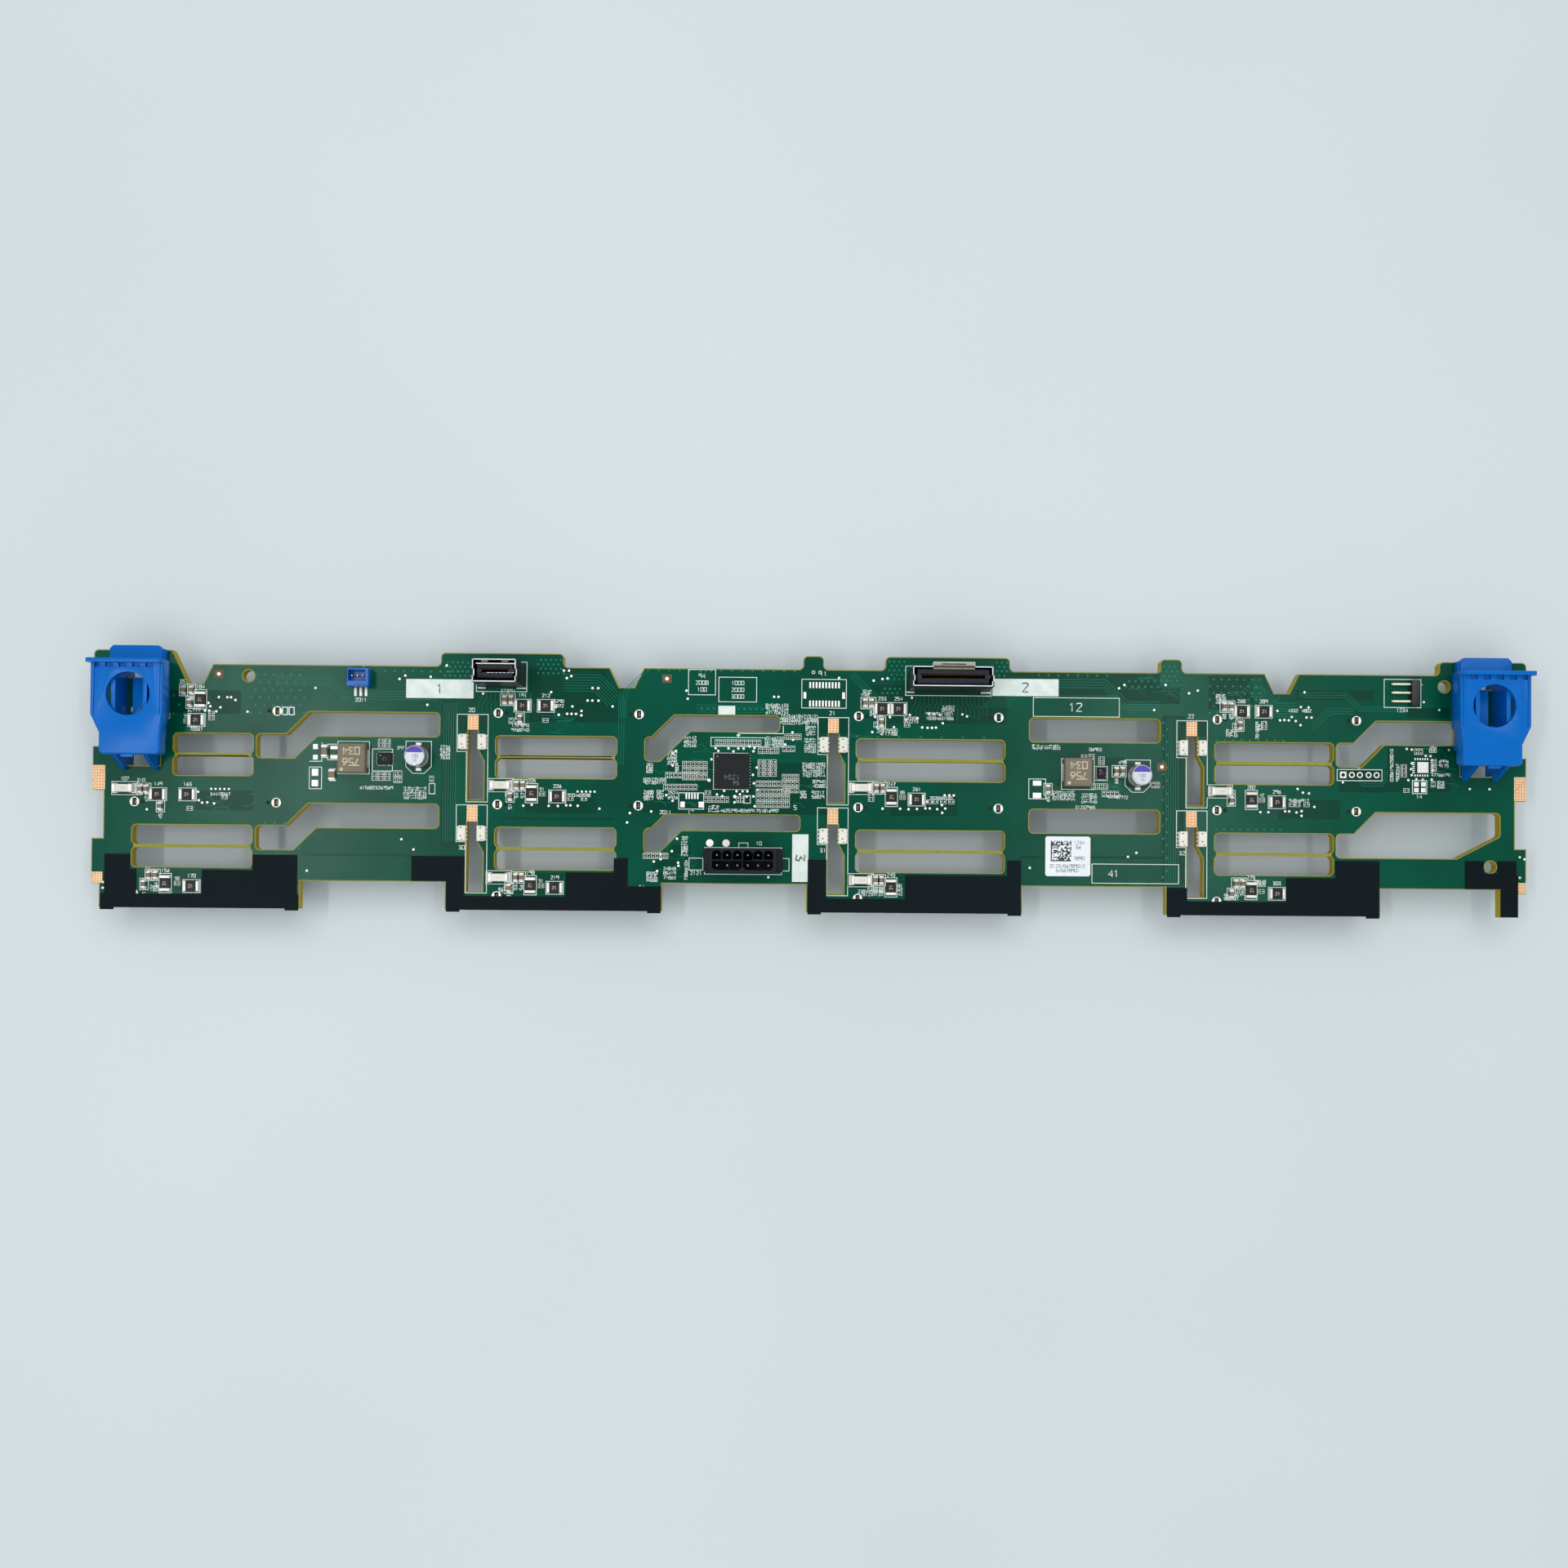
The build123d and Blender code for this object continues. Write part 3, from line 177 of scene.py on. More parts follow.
def finish(name, colour, deep, rough, spread, depth, clouds=60.0, grains=900.0, metal=0.0, shine=0.5):
    """A plain finish: colour clouded towards a deeper one, uneven gloss and a fine relief."""
    material, tree, shader, marks = coated(
        name, colour, deep, rough - spread, rough + spread, clouds, grains, "Both", "Grain")
    relief(tree, shader, marks["Grain"], depth)
    shader.inputs["Metallic"].default_value = metal
    shader.inputs["Specular IOR Level"].default_value = shine
    return material


def dress(name, material):
    """Give a CAD node its own material."""
    nodes[name].data.materials.clear()
    nodes[name].data.materials.append(material)


# Green mask on both faces; on the edges golden laminate with the thin lines of its copper layers
COPPER_PITCH = 0.36 * MM
mask, tree, shader, place, marks = surface("board_mask", 45.0, 2600.0)
marks = marks.outputs
facing, axes = (tree.nodes.new("ShaderNodeSeparateXYZ") for _ in range(2))
tree.links.new(tree.nodes.new("ShaderNodeNewGeometry").outputs["Normal"], facing.inputs[0])
tree.links.new(place, axes.inputs[0])
edge = ranged(tree, sum_of(tree, "ABSOLUTE", facing.outputs["Z"], 0.0), 0.7, 0.5)
turn = sum_of(tree, "MULTIPLY", axes.outputs["Z"], 2 * pi / COPPER_PITCH)
layers = ranged(tree, sum_of(tree, "SINE", turn, 0.0), 0.75, 1.0)
gold = blended(tree, marks["Grain"], paint("cdb12c"), paint("9c8720"))
bare = blended(tree, layers, gold, paint("6f6a20"))
green = blended(tree, marks["Cloud"], paint("00523d"), paint("004433"))
green = blended(tree, marks["Flecks"], green, paint("045a45"))
tree.links.new(blended(tree, edge, green, bare), shader.inputs["Base Color"])
wave = ranged(tree, marks["Cloud"], 0.0, 1.0, 0.12, 0.20)
tree.links.new(sum_of(tree, "ADD", wave, sum_of(tree, "MULTIPLY", edge, 0.35)), shader.inputs["Roughness"])
relief(tree, shader, marks["Grain"], 0.014)
shader.inputs["Specular IOR Level"].default_value = 0.12
dress("board", mask)

bare_laminate, tree, shader, marks = coated(
    "bare_laminate", "a39d2e", "717728", 0.6, 0.8, 120.0, 3200.0, mixed_by="Grain")
relief(tree, shader, marks["Grain"], 0.03)


def add_piece(name, mesh, materials):
    """A finished piece that rides on the board's body."""
    obj = bpy.data.objects.new(name, mesh)
    link(obj)
    for material in materials:
        mesh.materials.append(material)
    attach(obj, "root")
    return obj


def boundary_loops(top):
    """Outline and openings of the panel's upper or lower face, as closed runs of points."""
    work = bmesh.new()
    work.from_mesh(nodes["board"].data)
    bmesh.ops.remove_doubles(work, verts=work.verts, dist=0.002 * MM)
    sign = 1 if top else -1
    level = {f: None for f in work.faces if f.normal.z * sign > 0.9}
    following = {}
    for face in level:
        for loop in face.loops:
            if not any(f in level and f is not face for f in loop.edge.link_faces):
                following[loop.vert] = loop.link_loop_next.vert
    loops = []
    while following:
        vert = next(iter(following))
        run = []
        while vert in following:
            run.append(((vert.co.x - grid.x) / MM, (vert.co.y - grid.y) / MM))
            vert = following.pop(vert)
        loops.append(run)
    work.free()
    return loops


# Where scan lines 0.1 mm apart cross the panel's outline and its openings
SCAN = 0.1
crossings = {}
for run in boundary_loops(True):
    for (x0, y0), (x1, y1) in zip(run, run[1:] + run[:1]):
        for k in range(ceil(min(y0, y1) / SCAN), ceil(max(y0, y1) / SCAN)):
            crossings.setdefault(k, []).append(x0 + (x1 - x0) * (k * SCAN - y0) / (y1 - y0))
for line in crossings.values():
    line.sort()


def over_panel(x, y):
    """Whether the panel lies under a place, and no opening."""
    return bisect(crossings.get(round(y / SCAN), ()), x) % 2 == 1


def circle(x, y, radius, sides):
    """Points round a circle, anticlockwise."""
    turns = [2 * pi * i / sides for i in range(sides)]
    return [(x + radius * cos(a), y + radius * sin(a)) for a in turns]


def mitres(corners, closed):
    """For each corner of a line, the step to its left that a parallel line 1 mm away takes."""
    steps = []
    for i, place in enumerate(corners):
        before = corners[i - 1] if closed or i else None
        after = corners[(i + 1) % len(corners)] if closed or i < len(corners) - 1 else None
        normals = []
        for a, b in ((before, place), (place, after)):
            if a and b:
                dx, dy = b[0] - a[0], b[1] - a[1]
                length = hypot(dx, dy) or 1.0
                normals.append((-dy / length, dx / length))
        nx, ny = (sum(n[axis] for n in normals) / len(normals) for axis in (0, 1))
        square = max(nx * nx + ny * ny, SHARPEST)
        steps.append((nx / square, ny / square))
    return steps


def shifted(corners, distance, closed=False):
    """A line moved to its left by a distance."""
    return [(x + a * distance, y + b * distance) for (x, y), (a, b) in zip(corners, mitres(corners, closed))]


# Lift of each printed or plated layer above the board's face, in millimetres
LIFT = {"margin": 0.006, "clear": 0.008, "tracks": 0.016, "holes": 0.022, "copper": 0.024, "pads": 0.030,
        "open": 0.036, "ink": 0.042, "blocks": 0.050, "figures": 0.058}
SHINGLE = 0.0005  # lift between neighbouring shapes of one layer, which may overlap
SHARPEST = 0.3  # keeps the mitre of a sharp corner short


class Print:
    """Flat figures of one ink or metal, gathered into one mesh close above the board's face."""

    def __init__(self, lift, under=False, anywhere=False):
        self.points, self.faces, self.lift, self.under, self.anywhere = [], [], lift, under, anywhere

    def shape(self, corners):
        """Any flat outline, given anticlockwise in millimetres from the grid's middle."""
        if not self.anywhere and not all(over_panel(x, y) for x, y in corners):
            return
        start = len(self.points)
        lift = (self.lift + SHINGLE * (len(self.faces) % 8)) * MM
        z = board_low.z - lift if self.under else board_high.z + lift
        self.points += [(grid.x + x * MM, grid.y + y * MM, z) for x, y in corners]
        face = list(range(start, len(self.points)))
        self.faces.append(face[::-1] if self.under else face)

    def patch(self, x0, x1, y0, y1):
        """A filled rectangle."""
        self.shape([(x0, y0), (x1, y0), (x1, y1), (x0, y1)])

    def line(self, corners, width=0.2, closed=False):
        """A line of one width with mitred corners."""
        right, left = shifted(corners, -width / 2, closed), shifted(corners, width / 2, closed)
        for i in range(len(corners) if closed else len(corners) - 1):
            j = (i + 1) % len(corners)
            self.shape([right[i], right[j], left[j], left[i]])

    def frame(self, x0, x1, y0, y1, width=0.2):
        """An open rectangle."""
        self.line([(x0, y0), (x1, y0), (x1, y1), (x0, y1)], width, True)

    def dot(self, x, y, radius, sides=14):
        """A filled circle."""
        self.shape(circle(x, y, radius, sides))

    def ring(self, x, y, radius, width):
        """An open circle."""
        self.line(circle(x, y, radius, 24), width, True)

    def bundle(self, corners, count, pitch):
        """Parallel tracks beside each other, the first one on the given corners."""
        for k in range(count):
            self.line(shifted(corners, -k * pitch), 0.16)

    def collar(self, x, y, radius, half_x, half_y):
        """A ring whose inside is a rectangle."""
        turns = [2 * pi * (i + 0.5) / 32 for i in range(33)]
        for a, b in zip(turns, turns[1:]):
            near = []
            for turn in (a, b):
                reach = min(half_x / max(abs(cos(turn)), 0.001), half_y / max(abs(sin(turn)), 0.001))
                near.append((x + reach * cos(turn), y + reach * sin(turn)))
            self.shape([near[0], (x + radius * cos(a), y + radius * sin(a)),
                        (x + radius * cos(b), y + radius * sin(b)), near[1]])

    def lay(self, name, materials, slot):
        """Turn what is gathered into a piece."""
        mesh = bpy.data.meshes.new(name)
        mesh.from_pydata(self.points, [], self.faces)
        return add_piece(name, mesh, materials)


# The drive grid's columns and rows, and the narrow ribs between two slots of a column
COLUMNS = (-160.05, -53.35, 53.35, 160.05)
ROWS = (27.05, 0.0, -27.05)
RIB_LEFT = 21.4
FIRST_RIB_LEFT = 9.6
RIB_RIGHT = (13.8, 14.2, 22.6, 13.9)
RIB_HALF = 0.475

# How far the mask stands back from an edge, and the largest opening that has no bare edge
PULL_BACK = 0.26
SMALL_OPENING = 3.2

for under in (False, True):
    margin = Print(LIFT["margin"], under, True)
    for run in boundary_loops(not under):
        xs, ys = zip(*run)
        if max(max(xs) - min(xs), max(ys) - min(ys)) >= SMALL_OPENING:
            margin.line(shifted(run, -PULL_BACK / 2 if under else PULL_BACK / 2, True), PULL_BACK, True)
    for column, x in enumerate(COLUMNS):
        for row in (0, 1):
            y = (ROWS[row] + ROWS[row + 1]) / 2 + 0.55
            left = FIRST_RIB_LEFT if column == 0 and row == 0 else RIB_LEFT
            margin.patch(x - left + 0.4, x + RIB_RIGHT[column] - 0.4, y - RIB_HALF, y + RIB_HALF)
    margin.lay("bare_margin_under" if under else "bare_margin", [bare_laminate], "laminate")

# Copper under the mask.
# Etched copper changes the green above it: bare laminate is darkest, tracks and filled holes are paler.
# The pads at both ends and by the stepped slots are bare copper crossed by lines of solder.
no_copper = finish("mask_without_copper", "00402f", "003829", 0.16, 0.05, 0.02, 70.0, 2600.0, shine=0.12)
over_track = finish("mask_over_track", "16745c", "0a5c47", 0.16, 0.05, 0.02, 200.0, 2600.0, shine=0.12)
over_hole = finish("mask_over_hole", "217a62", "11644e", 0.16, 0.05, 0.02, 200.0, 2600.0, shine=0.12)
solder = finish("soldered_pad", "f2f1ec", "c9cbc6", 0.34, 0.1, 0.05, 500.0, 3500.0, metal=0.55)
bare_copper = finish("bare_copper", "e9a27c", "d98d5f", 0.42, 0.08, 0.05, 400.0, 4000.0, metal=0.35)
flux = finish("flux_lines", "f0dcae", "d9bd84", 0.4, 0.1, 0.03, 300.0, 3000.0, metal=0.2)
# Near-black finish for painted shade in holes and at the lock slots' rims
hole_shade = finish("painted_hole_shade", "0a0d0c", "050606", 0.8, 0.1, 0.02, 300.0, 3000.0)

clear = Print(LIFT["clear"])
for area in (
    (-120.4, -106.8, 26.6, 40.4), (-90.8, -86.8, -13, 31), (-65, -42.4, 24.5, 40.4),
    (-42.4, -37.5, 24.5, 34.4), (-31.5, 23.6, -2.3, 5), (-24, 23.6, 5, 13), (-20, 23.6, 13, 20.4),
    (36.5, 76.5, 25, 36.5), (74.5, 84, 34, 40.4), (84, 122, 34, 40.4), (110, 128, 31.6, 36.5),
    (122.9, 129.6, -22.4, 28), (136.6, 150, 30, 40), (163, 186, 33, 36), (157.5, 176, -2.4, 3.4),
    (190, 209, 6, 19.6), (175.6, 190, 5.7, 12.9), (196, 208.5, 28, 31), (104, 112, 8.6, 15.4),
    (-113.4, -111.3, 15.1, 17.1), (-113.4, -111.3, 9.2, 11.5), (91.6, 93.9, 5.4, 9),
    (-86, -77.2, 21.9, 26.4), (20.8, 29.4, 21.9, 26.4), (127.6, 136, 21.9, 26.4), (-28, -17, -22.4, -14.4),
    (-23.4, -17, -14.4, -11.6), (-182, -150, 26, 33), (-131, -99, -15.6, -14.9), (-73, -40, -4.4, -3.8),
    (80.5, 129.5, -14.6, -13.9), (-163, -146, -2.4, 3.4), (-66, -45, -2.4, 3.4), (42, 62, -2.4, 3.4),
    (-172, -147, -26.2, -20.2), (-68, -54.5, -26.2, -20.2), (38.5, 46, -26.2, -20.2),
    (139.5, 159.5, -26.2, -20.2), (88.4, 92, -13.9, -13),
):
    clear.patch(*area)
clear.lay("clear_areas", [no_copper], "laminate")

tracks = Print(LIFT["tracks"])
for corners, count, pitch in (
    ([(-55.0, 38.6), (-44.0, 38.6), (-37.0, 31.6), (-37.0, 12.0)], 7, 0.8),
    ([(-86.6, 30.0), (-86.6, -11.0)], 6, 0.7),
    ([(-92.0, 30.8), (-120.0, 30.8), (-124.0, 34.8), (-140.0, 34.8)], 4, 0.8),
    ([(-35.0, 24.0), (-22.0, 24.0), (-16.0, 30.0), (4.0, 30.0)], 4, 0.7),
    ([(127.6, 27.5), (127.6, -21.5)], 6, 0.7),
    ([(84.5, 38.6), (106.0, 38.6), (112.5, 32.1), (122.0, 32.1)], 4, 0.8),
    ([(163.5, 35.3), (178.0, 35.3), (182.0, 31.3), (196.0, 31.3)], 3, 0.7),
    ([(188.0, 24.0), (178.5, 33.5)], 3, 0.8),
    ([(190.0, 12.4), (190.0, 9.4), (188.2, 7.6), (183.0, 7.6), (181.4, 9.2)], 2, 0.7),
    ([(166.8, 25.0), (172.5, 30.7), (180.0, 30.7)], 3, 0.8),
    ([(150.0, 39.6), (157.5, 32.1), (163.0, 32.1)], 6, 0.8),
    ([(-30.0, 40.0), (-36.5, 33.5), (-36.5, 26.0)], 3, 0.8),
    ([(31.0, 40.0), (39.5, 31.5)], 3, 0.8),
    ([(29.6, 22.0), (33.0, 21.2), (37.0, 21.2)], 3, 0.6),
):
    tracks.bundle(corners, count, pitch)

# Fine tracks that fan out from the signal connectors
FINE = 0.14
TOP = 33.0
for start, step, count in ((49.5, 1.25, 17), (-79.0, 1.3, 12)):
    for k in range(count):
        x = start + k * step
        bend = x + (1.2 if k > count / 2 else -1.2)
        tracks.line([(x, TOP), (x, TOP - 1.6 - 0.25 * (k % 4)), (bend, TOP - 3.6),
                     (bend, TOP - 5.2 - 0.4 * (k % 5))], FINE)
for k in range(8):
    x = 69.0 + 1.1 * k
    tracks.line([(x, 30.0), (x + 4.6, 34.6), (x + 9.0, 34.6)], FINE)
chance = random.Random(11)
for x0, x1, y0, y1, count in (
    (-30, 22, -2, 20, 70), (-66, -46, 21, 27, 10), (192, 208, 7, 19, 14), (138, 160, 28, 38, 16),
    (-162, -147, -2, 3, 8), (112, 126, 34, 39.5, 16), (-27, -18, -22, -12, 10), (84, 121, 4, 8, 10),
):
    for _ in range(count):
        x, y = chance.uniform(x0, x1), chance.uniform(y0, y1)
        run, turn = chance.uniform(1.0, 4.0), chance.choice((-1, 1))
        tracks.line([(x, y), (x + run, y), (x + run + 1.2, y + turn * 1.2)], FINE)
tracks.lay("tracks", [over_track], "laminate")

holes = Print(LIFT["holes"])
for x0, x1, y0, y1, pitch in (
    (-90, -82.5, 38, 42.6, 1.5), (-62.5, -54.5, 39, 43.4, 1.5), (41.5, 46, 38.2, 43.6, 1.5),
    (73.5, 76.5, 38.2, 43.6, 1.5), (39.5, 45, 34, 36.5, 1.5), (-30, 14, 40.2, 40.3, 3.1),
    (-14, 6, 29, 29.2, 1.8), (86, 108, 39.8, 40, 2.9), (122.5, 128, 38.5, 43.6, 1.6),
    (-14.5, -10.5, 40, 43.6, 1.6), (137, 152, 29, 39.5, 2.3), (112, 122, 36.6, 39.8, 1.9),
    (-147, -131, 26.5, 39.8, 2.6), (139, 159, -5.6, -4.8, 2.4), (123.2, 125, -20, 26, 2.2),
    (-179, -163, 26, 33, 3.1), (139, 160, 20.9, 21.2, 2.5), (32, 74, 21, 21.3, 6.3),
    (-113, -82, 39.2, 40, 2.7), (-144, -131, -13.5, -4, 2.9),
):
    rank, y = 0, y0
    while y <= y1:
        x = x0 + (rank % 2) * pitch / 2
        while x <= x1:
            holes.dot(x, y, 0.34, 10)
            x += pitch
        y, rank = y + pitch * 0.87, rank + 1
holes.lay("filled_holes", [over_hole], "laminate")

pads = Print(LIFT["pads"])
for x, y in (
    (-156.5, 31), (-154, 31), (-152.9, 31), (-151.6, 30.2), (-159.5, 29.3), (-159, 28.3), (-156, 28),
    (-160.5, 27), (-159.3, 27), (-157.2, 26.8), (-148, 26.8), (-177.2, -2.3), (-162, 0.5), (-161, -0.2),
    (-159.5, -0.1), (-157.5, -0.4), (-162.2, 3), (-128.1, 34), (-130, -20), (-103.4, 36.9), (-101.7, 37.9),
    (-94.2, 37.6), (-95.1, 29.3), (-89.5, 41), (-102.3, -10.5), (-98.7, -13.5), (-78.7, 32.8), (-54.9, 39.8),
    (-53.4, 39.8), (-52.7, 38.2), (-54, 37.6), (-46.4, 34.7), (-44.7, 34.7), (-47.8, 31), (-46.4, 31),
    (-44.6, 31), (-52.3, 29.2), (-40.4, 29.3), (-53.8, 27), (-52.5, 27), (-51.2, 27), (-49.6, 27.9),
    (-49.6, 26.6), (-58.6, 33.4), (-57.1, 29), (-56.3, 26.7), (-66.5, -0.3), (-64, 0), (-59, -0.3),
    (-56.3, -0.3), (-53.8, -0.1), (-52.6, -0.1), (-50.4, -0.2), (-44, -1), (-35, -2.2), (-35.8, -5),
    (-18.6, 34.2), (-18.2, 31.8), (7.4, 32.6), (8.7, 32.6), (26.6, 38.4), (-21, -9.7), (6.1, -20.9),
    (36.9, 37.7), (39.5, 38.2), (41, 38.4), (48.3, 32.7), (47.7, 27.6), (53.5, 28), (54.9, 28), (50, 26.6),
    (46.5, 26.2), (41.8, 26.9), (37.4, 26.9), (36.6, 22.4), (43, 23.9), (51.4, 23.9), (53, 23.8),
    (54.3, 23.8), (55.5, 23.9), (57.5, 25.2), (63.3, 27.9), (64.7, 27.3), (56.7, 27.7), (58.2, 3.8),
    (59.6, 3.8), (60.9, 3.8), (39.8, -0.3), (45, -0.3), (47.5, -0.4), (50, -0.3), (52.5, -0.1), (53.8, -0.1),
    (56, -0.3), (58.4, -0.1), (57.5, -1.4), (53, 1.9), (57.4, 0.9), (83.6, -17.5), (109.9, 36.1),
    (111.5, 37.1), (123.8, 37.2), (130.8, 34.8), (133.4, 35.6), (120.4, 29.7), (112.8, -14), (115.3, -12.8),
    (165.3, 35.4), (157.2, 29.8), (158, 27), (159.3, 27.1), (160.6, 27), (161.5, 28), (162.7, 26.8),
    (164.1, 25.6), (165.9, 27.9), (167.4, 27.9), (166.5, 30.9), (164.2, 31), (152.2, -0.4), (154.6, -0.4),
    (159.6, -0.1), (160.8, -0.1), (163, -0.4), (164.5, 0), (164.5, -1.4), (168.3, 1.3), (163.3, 6.6),
    (164.9, 5.5), (166.7, 5.3), (176.8, 8.7), (201, 32.8), (205.6, 30.5), (195.9, 18.8), (197.4, 18.6),
    (201.6, 16.8), (203, 16.7), (203.4, 15.5), (197.4, 14.5), (197.2, 12.8), (197.4, 11), (203.6, 14),
    (203.7, 12.5), (208.5, 18.6), (198.8, 9.8), (200.7, 9.7), (203.4, 9.7), (196.4, 9.5), (214.8, 7),
    (220.7, 7), (229.8, -13.2), (231.2, -13.8), (229.8, -19.3), (-22.5, 12), (-22.5, 15.5), (-21.5, 16.3),
    (-24.3, 3.2), (-22.4, 1.5), (-28.7, -1.7), (-11, 13.9), (2.4, 11.6), (1.3, 9.4), (1.6, 6.9), (2.8, 4.8),
    (1.5, 3), (1.9, 0.1), (-9.3, 3.5), (-7.7, 3), (-7.2, 4.6), (-3.5, 4.5), (-1.7, 4.5), (-0.3, 4.5),
    (-2.5, 3.6), (-0.5, 2.9), (-4.1, 1.2), (-9.8, 17.2), (-6, 17.2), (-4.5, 16.3), (-3.1, 17.2),
    (-1.5, 17.2), (0.2, 17.8), (1.7, 17.4), (1.4, 16.4), (-9, 16.4), (12.9, 22.1), (13.1, 19.9),
    (10.8, 18.5), (-25.8, -14.4), (-25.8, -15.8), (-22.5, -13.4), (-20.6, -16.8), (-20.5, -17.7),
    (-26.8, -19.3), (-27.8, -16.5), (-189.8, -23.8), (-189.8, -25.5),
):
    pads.dot(x, y, 0.37, 12)
for k in range(5):
    pads.dot(-158.4 + 1.3 * k, 3.9, 0.33, 12)
    pads.dot(-50.5 + 1.25 * k, 4.0, 0.33, 12)
pads.dot(-11.7, 7.7, 0.5)
pads.dot(-4.0, 2.9, 0.5)
for x0, x1, y0, y1 in (
    (-128.9, -127, 8, 10.1), (-128.9, -127, 4.9, 6.8), (-128.6, -127.2, 15.9, 17.4),
    (-128.6, -127.2, 12.8, 14.2), (-123.5, -121.4, 15.9, 16.9), (-123.5, -121.4, 13.1, 14.2),
    (84.4, 86.9, 6.9, 8.4), (84.4, 86.9, 3.2, 4.8), (-20.1, -18.8, -0.4, 1.3), (-14.7, -13.3, -0.4, 1.3),
    (199.1, 202.4, 11.7, 14.9), (198.1, 199.5, 7.6, 9), (200.2, 201.6, 7.6, 9), (198.1, 199.5, 5.9, 7.2),
    (200.2, 201.6, 5.9, 7.2), (16.1, 16.9, 32.2, 34.1), (27.6, 28.4, 32.2, 34.1),
):
    pads.patch(x0, x1, y0, y1)
for k in range(5):
    pads.patch(-18.6 + 0.85 * k, -18.15 + 0.85 * k, 2.1, 4.0)
for k in range(10):
    x = 17.8 + 0.95 * k
    pads.patch(x, x + 0.5, 35.3, 37.1)
    pads.patch(x, x + 0.5, 29.8, 31.6)
for k in range(6):
    pads.patch(198.2 + 0.75 * k, 198.6 + 0.75 * k, 15.5, 16.1)
    pads.patch(198.2 + 0.75 * k, 198.6 + 0.75 * k, 10.6, 11.2)
    pads.patch(197.6, 198.3, 11.6 + 0.6 * k, 11.9 + 0.6 * k)
    pads.patch(203.1, 203.8, 11.6 + 0.6 * k, 11.9 + 0.6 * k)
PEG_PADS = ((-11.3, -10.9), (-6.5, -10.9))
for x, y in PEG_PADS:
    pads.dot(x, y, 1.1, 20)
EMPTY_HEADER = (176.9, 179.5, 181.9, 184.5, 186.9)
HEADER_Y = 10.9
for x in EMPTY_HEADER:
    pads.ring(x, HEADER_Y, 0.72, 0.34)
    if x == EMPTY_HEADER[0]:
        pads.frame(x - 0.85, x + 0.85, HEADER_Y - 0.85, HEADER_Y + 0.85, 0.25)

# Slots of the drive connectors' locks, ringed with solder, each with a thin dark frame of painted shade at
# its rim, and the open hole beside each drawn as a black disc of painted shade
LOCK, LOCK_HALF_X, LOCK_HALF_Y, LOCK_SHADE_RIM = 20.8, 0.62, 1.12, 0.14
OPEN_HOLE = 18.4
places = [(x, y, side) for x in COLUMNS for y in ROWS for side in (-1, 1)]
for x, y, side in places:
    pads.collar(x + side * LOCK, y, 1.4, LOCK_HALF_X, LOCK_HALF_Y)
TARGETS = ((-156.6, 37.9), (-24.4, 37.7), (122.8, 12.8))
for x, y in TARGETS:
    pads.dot(x, y, 0.55, 16)
pads.lay("soldered_pads", [solder], "tinned_metal")

# Painted shade: black discs for the open holes and the empty header's holes, and black frames for the lock
# slots' shaded rims, all drawn flat on the board
painted_hole_shade_layer = Print(LIFT["open"])
for x, y, side in places:
    painted_hole_shade_layer.dot(x + side * OPEN_HOLE, y, 0.6)
    a, b, c, d = LOCK_HALF_X, LOCK_HALF_X - LOCK_SHADE_RIM, LOCK_HALF_Y, LOCK_HALF_Y - LOCK_SHADE_RIM
    x += side * LOCK
    for edges in ((x - a, x - b, y - c, y + c), (x + b, x + a, y - c, y + c),
                  (x - b, x + b, y - c, y - d), (x - b, x + b, y + d, y + c)):
        painted_hole_shade_layer.patch(*edges)
for x in EMPTY_HEADER:
    painted_hole_shade_layer.dot(x, HEADER_Y, 0.5)
painted_hole_shade_layer.lay("painted_hole_shade_layer", [hole_shade], "laminate")

GRID_PITCH = 0.9
copper, lines = Print(LIFT["copper"]), Print(LIFT["pads"])
for x0, x1, y0, y1 in (
    (-193.2, -189.6, 3.5, 10.6), (-193.2, -190, -24.1, -20.8), (228.1, 231.6, 3.5, 10.6),
    (229, 231.6, -23.9, -20.9), (-83.1, -80, 21.9, 26.3), (23.5, 26.6, 21.9, 26.3),
    (130.1, 133.2, 21.9, 26.3), (-83.1, -80, -5, -0.4), (23.5, 26.6, -5, -0.4), (130.1, 133.2, -5, -0.4),
):
    while not over_panel((x0 + x1) / 2, y0 - 0.1):
        y0 += SCAN
    copper.patch(x0, x1, y0, y1)
    across, along = round((x1 - x0) / GRID_PITCH), round((y1 - y0) / GRID_PITCH)
    for k in range(across + 1):
        x = x0 + 0.08 + (x1 - x0 - 0.16) * k / across
        lines.line([(x, y0), (x, y1)], 0.22)
    for k in range(along + 1):
        y = y0 + 0.08 + (y1 - y0 - 0.16) * k / along
        lines.line([(x0, y), (x1, y)], 0.22)
copper.lay("copper_pads", [bare_copper], "gold_contact")
lines.lay("copper_pad_lines", [flux], "gold_contact")

target = Print(LIFT["copper"])
for x, y in TARGETS:
    target.patch(x - 1.4, x + 1.4, y - 1.2, y + 1.2)
target.lay("target_windows", [finish("bare_target", "6b4a22", "54391a", 0.5, 0.1, 0.03)], "laminate")

# Printed legend.
# White epoxy ink, screen printed on the mask: a frame round every part, a number beside it,
# and a white block with one figure where each cable plugs in.
ink = finish("legend_ink", "e6efe9", "b4cdc2", 0.55, 0.08, 0.03, 300.0, 3600.0)
dark_print = finish("dark_print", "23282a", "3b4345", 0.5, 0.08, 0.01, 200.0, 2500.0)

STROKES = {
    "0": "00 60 69 09 00", "1": "17 39 30", "2": "08 19 59 67 00 60", "3": "09 69 25 63 50 01",
    "4": "50 59 03 63", "5": "69 09 05 55 63 50 00", "6": "59 15 03 10 50 63 55 04",
    "7": "09 69 20", "8": "00 60 65 05 09 69 65 05 00", "9": "60 69 09 05 65",
}


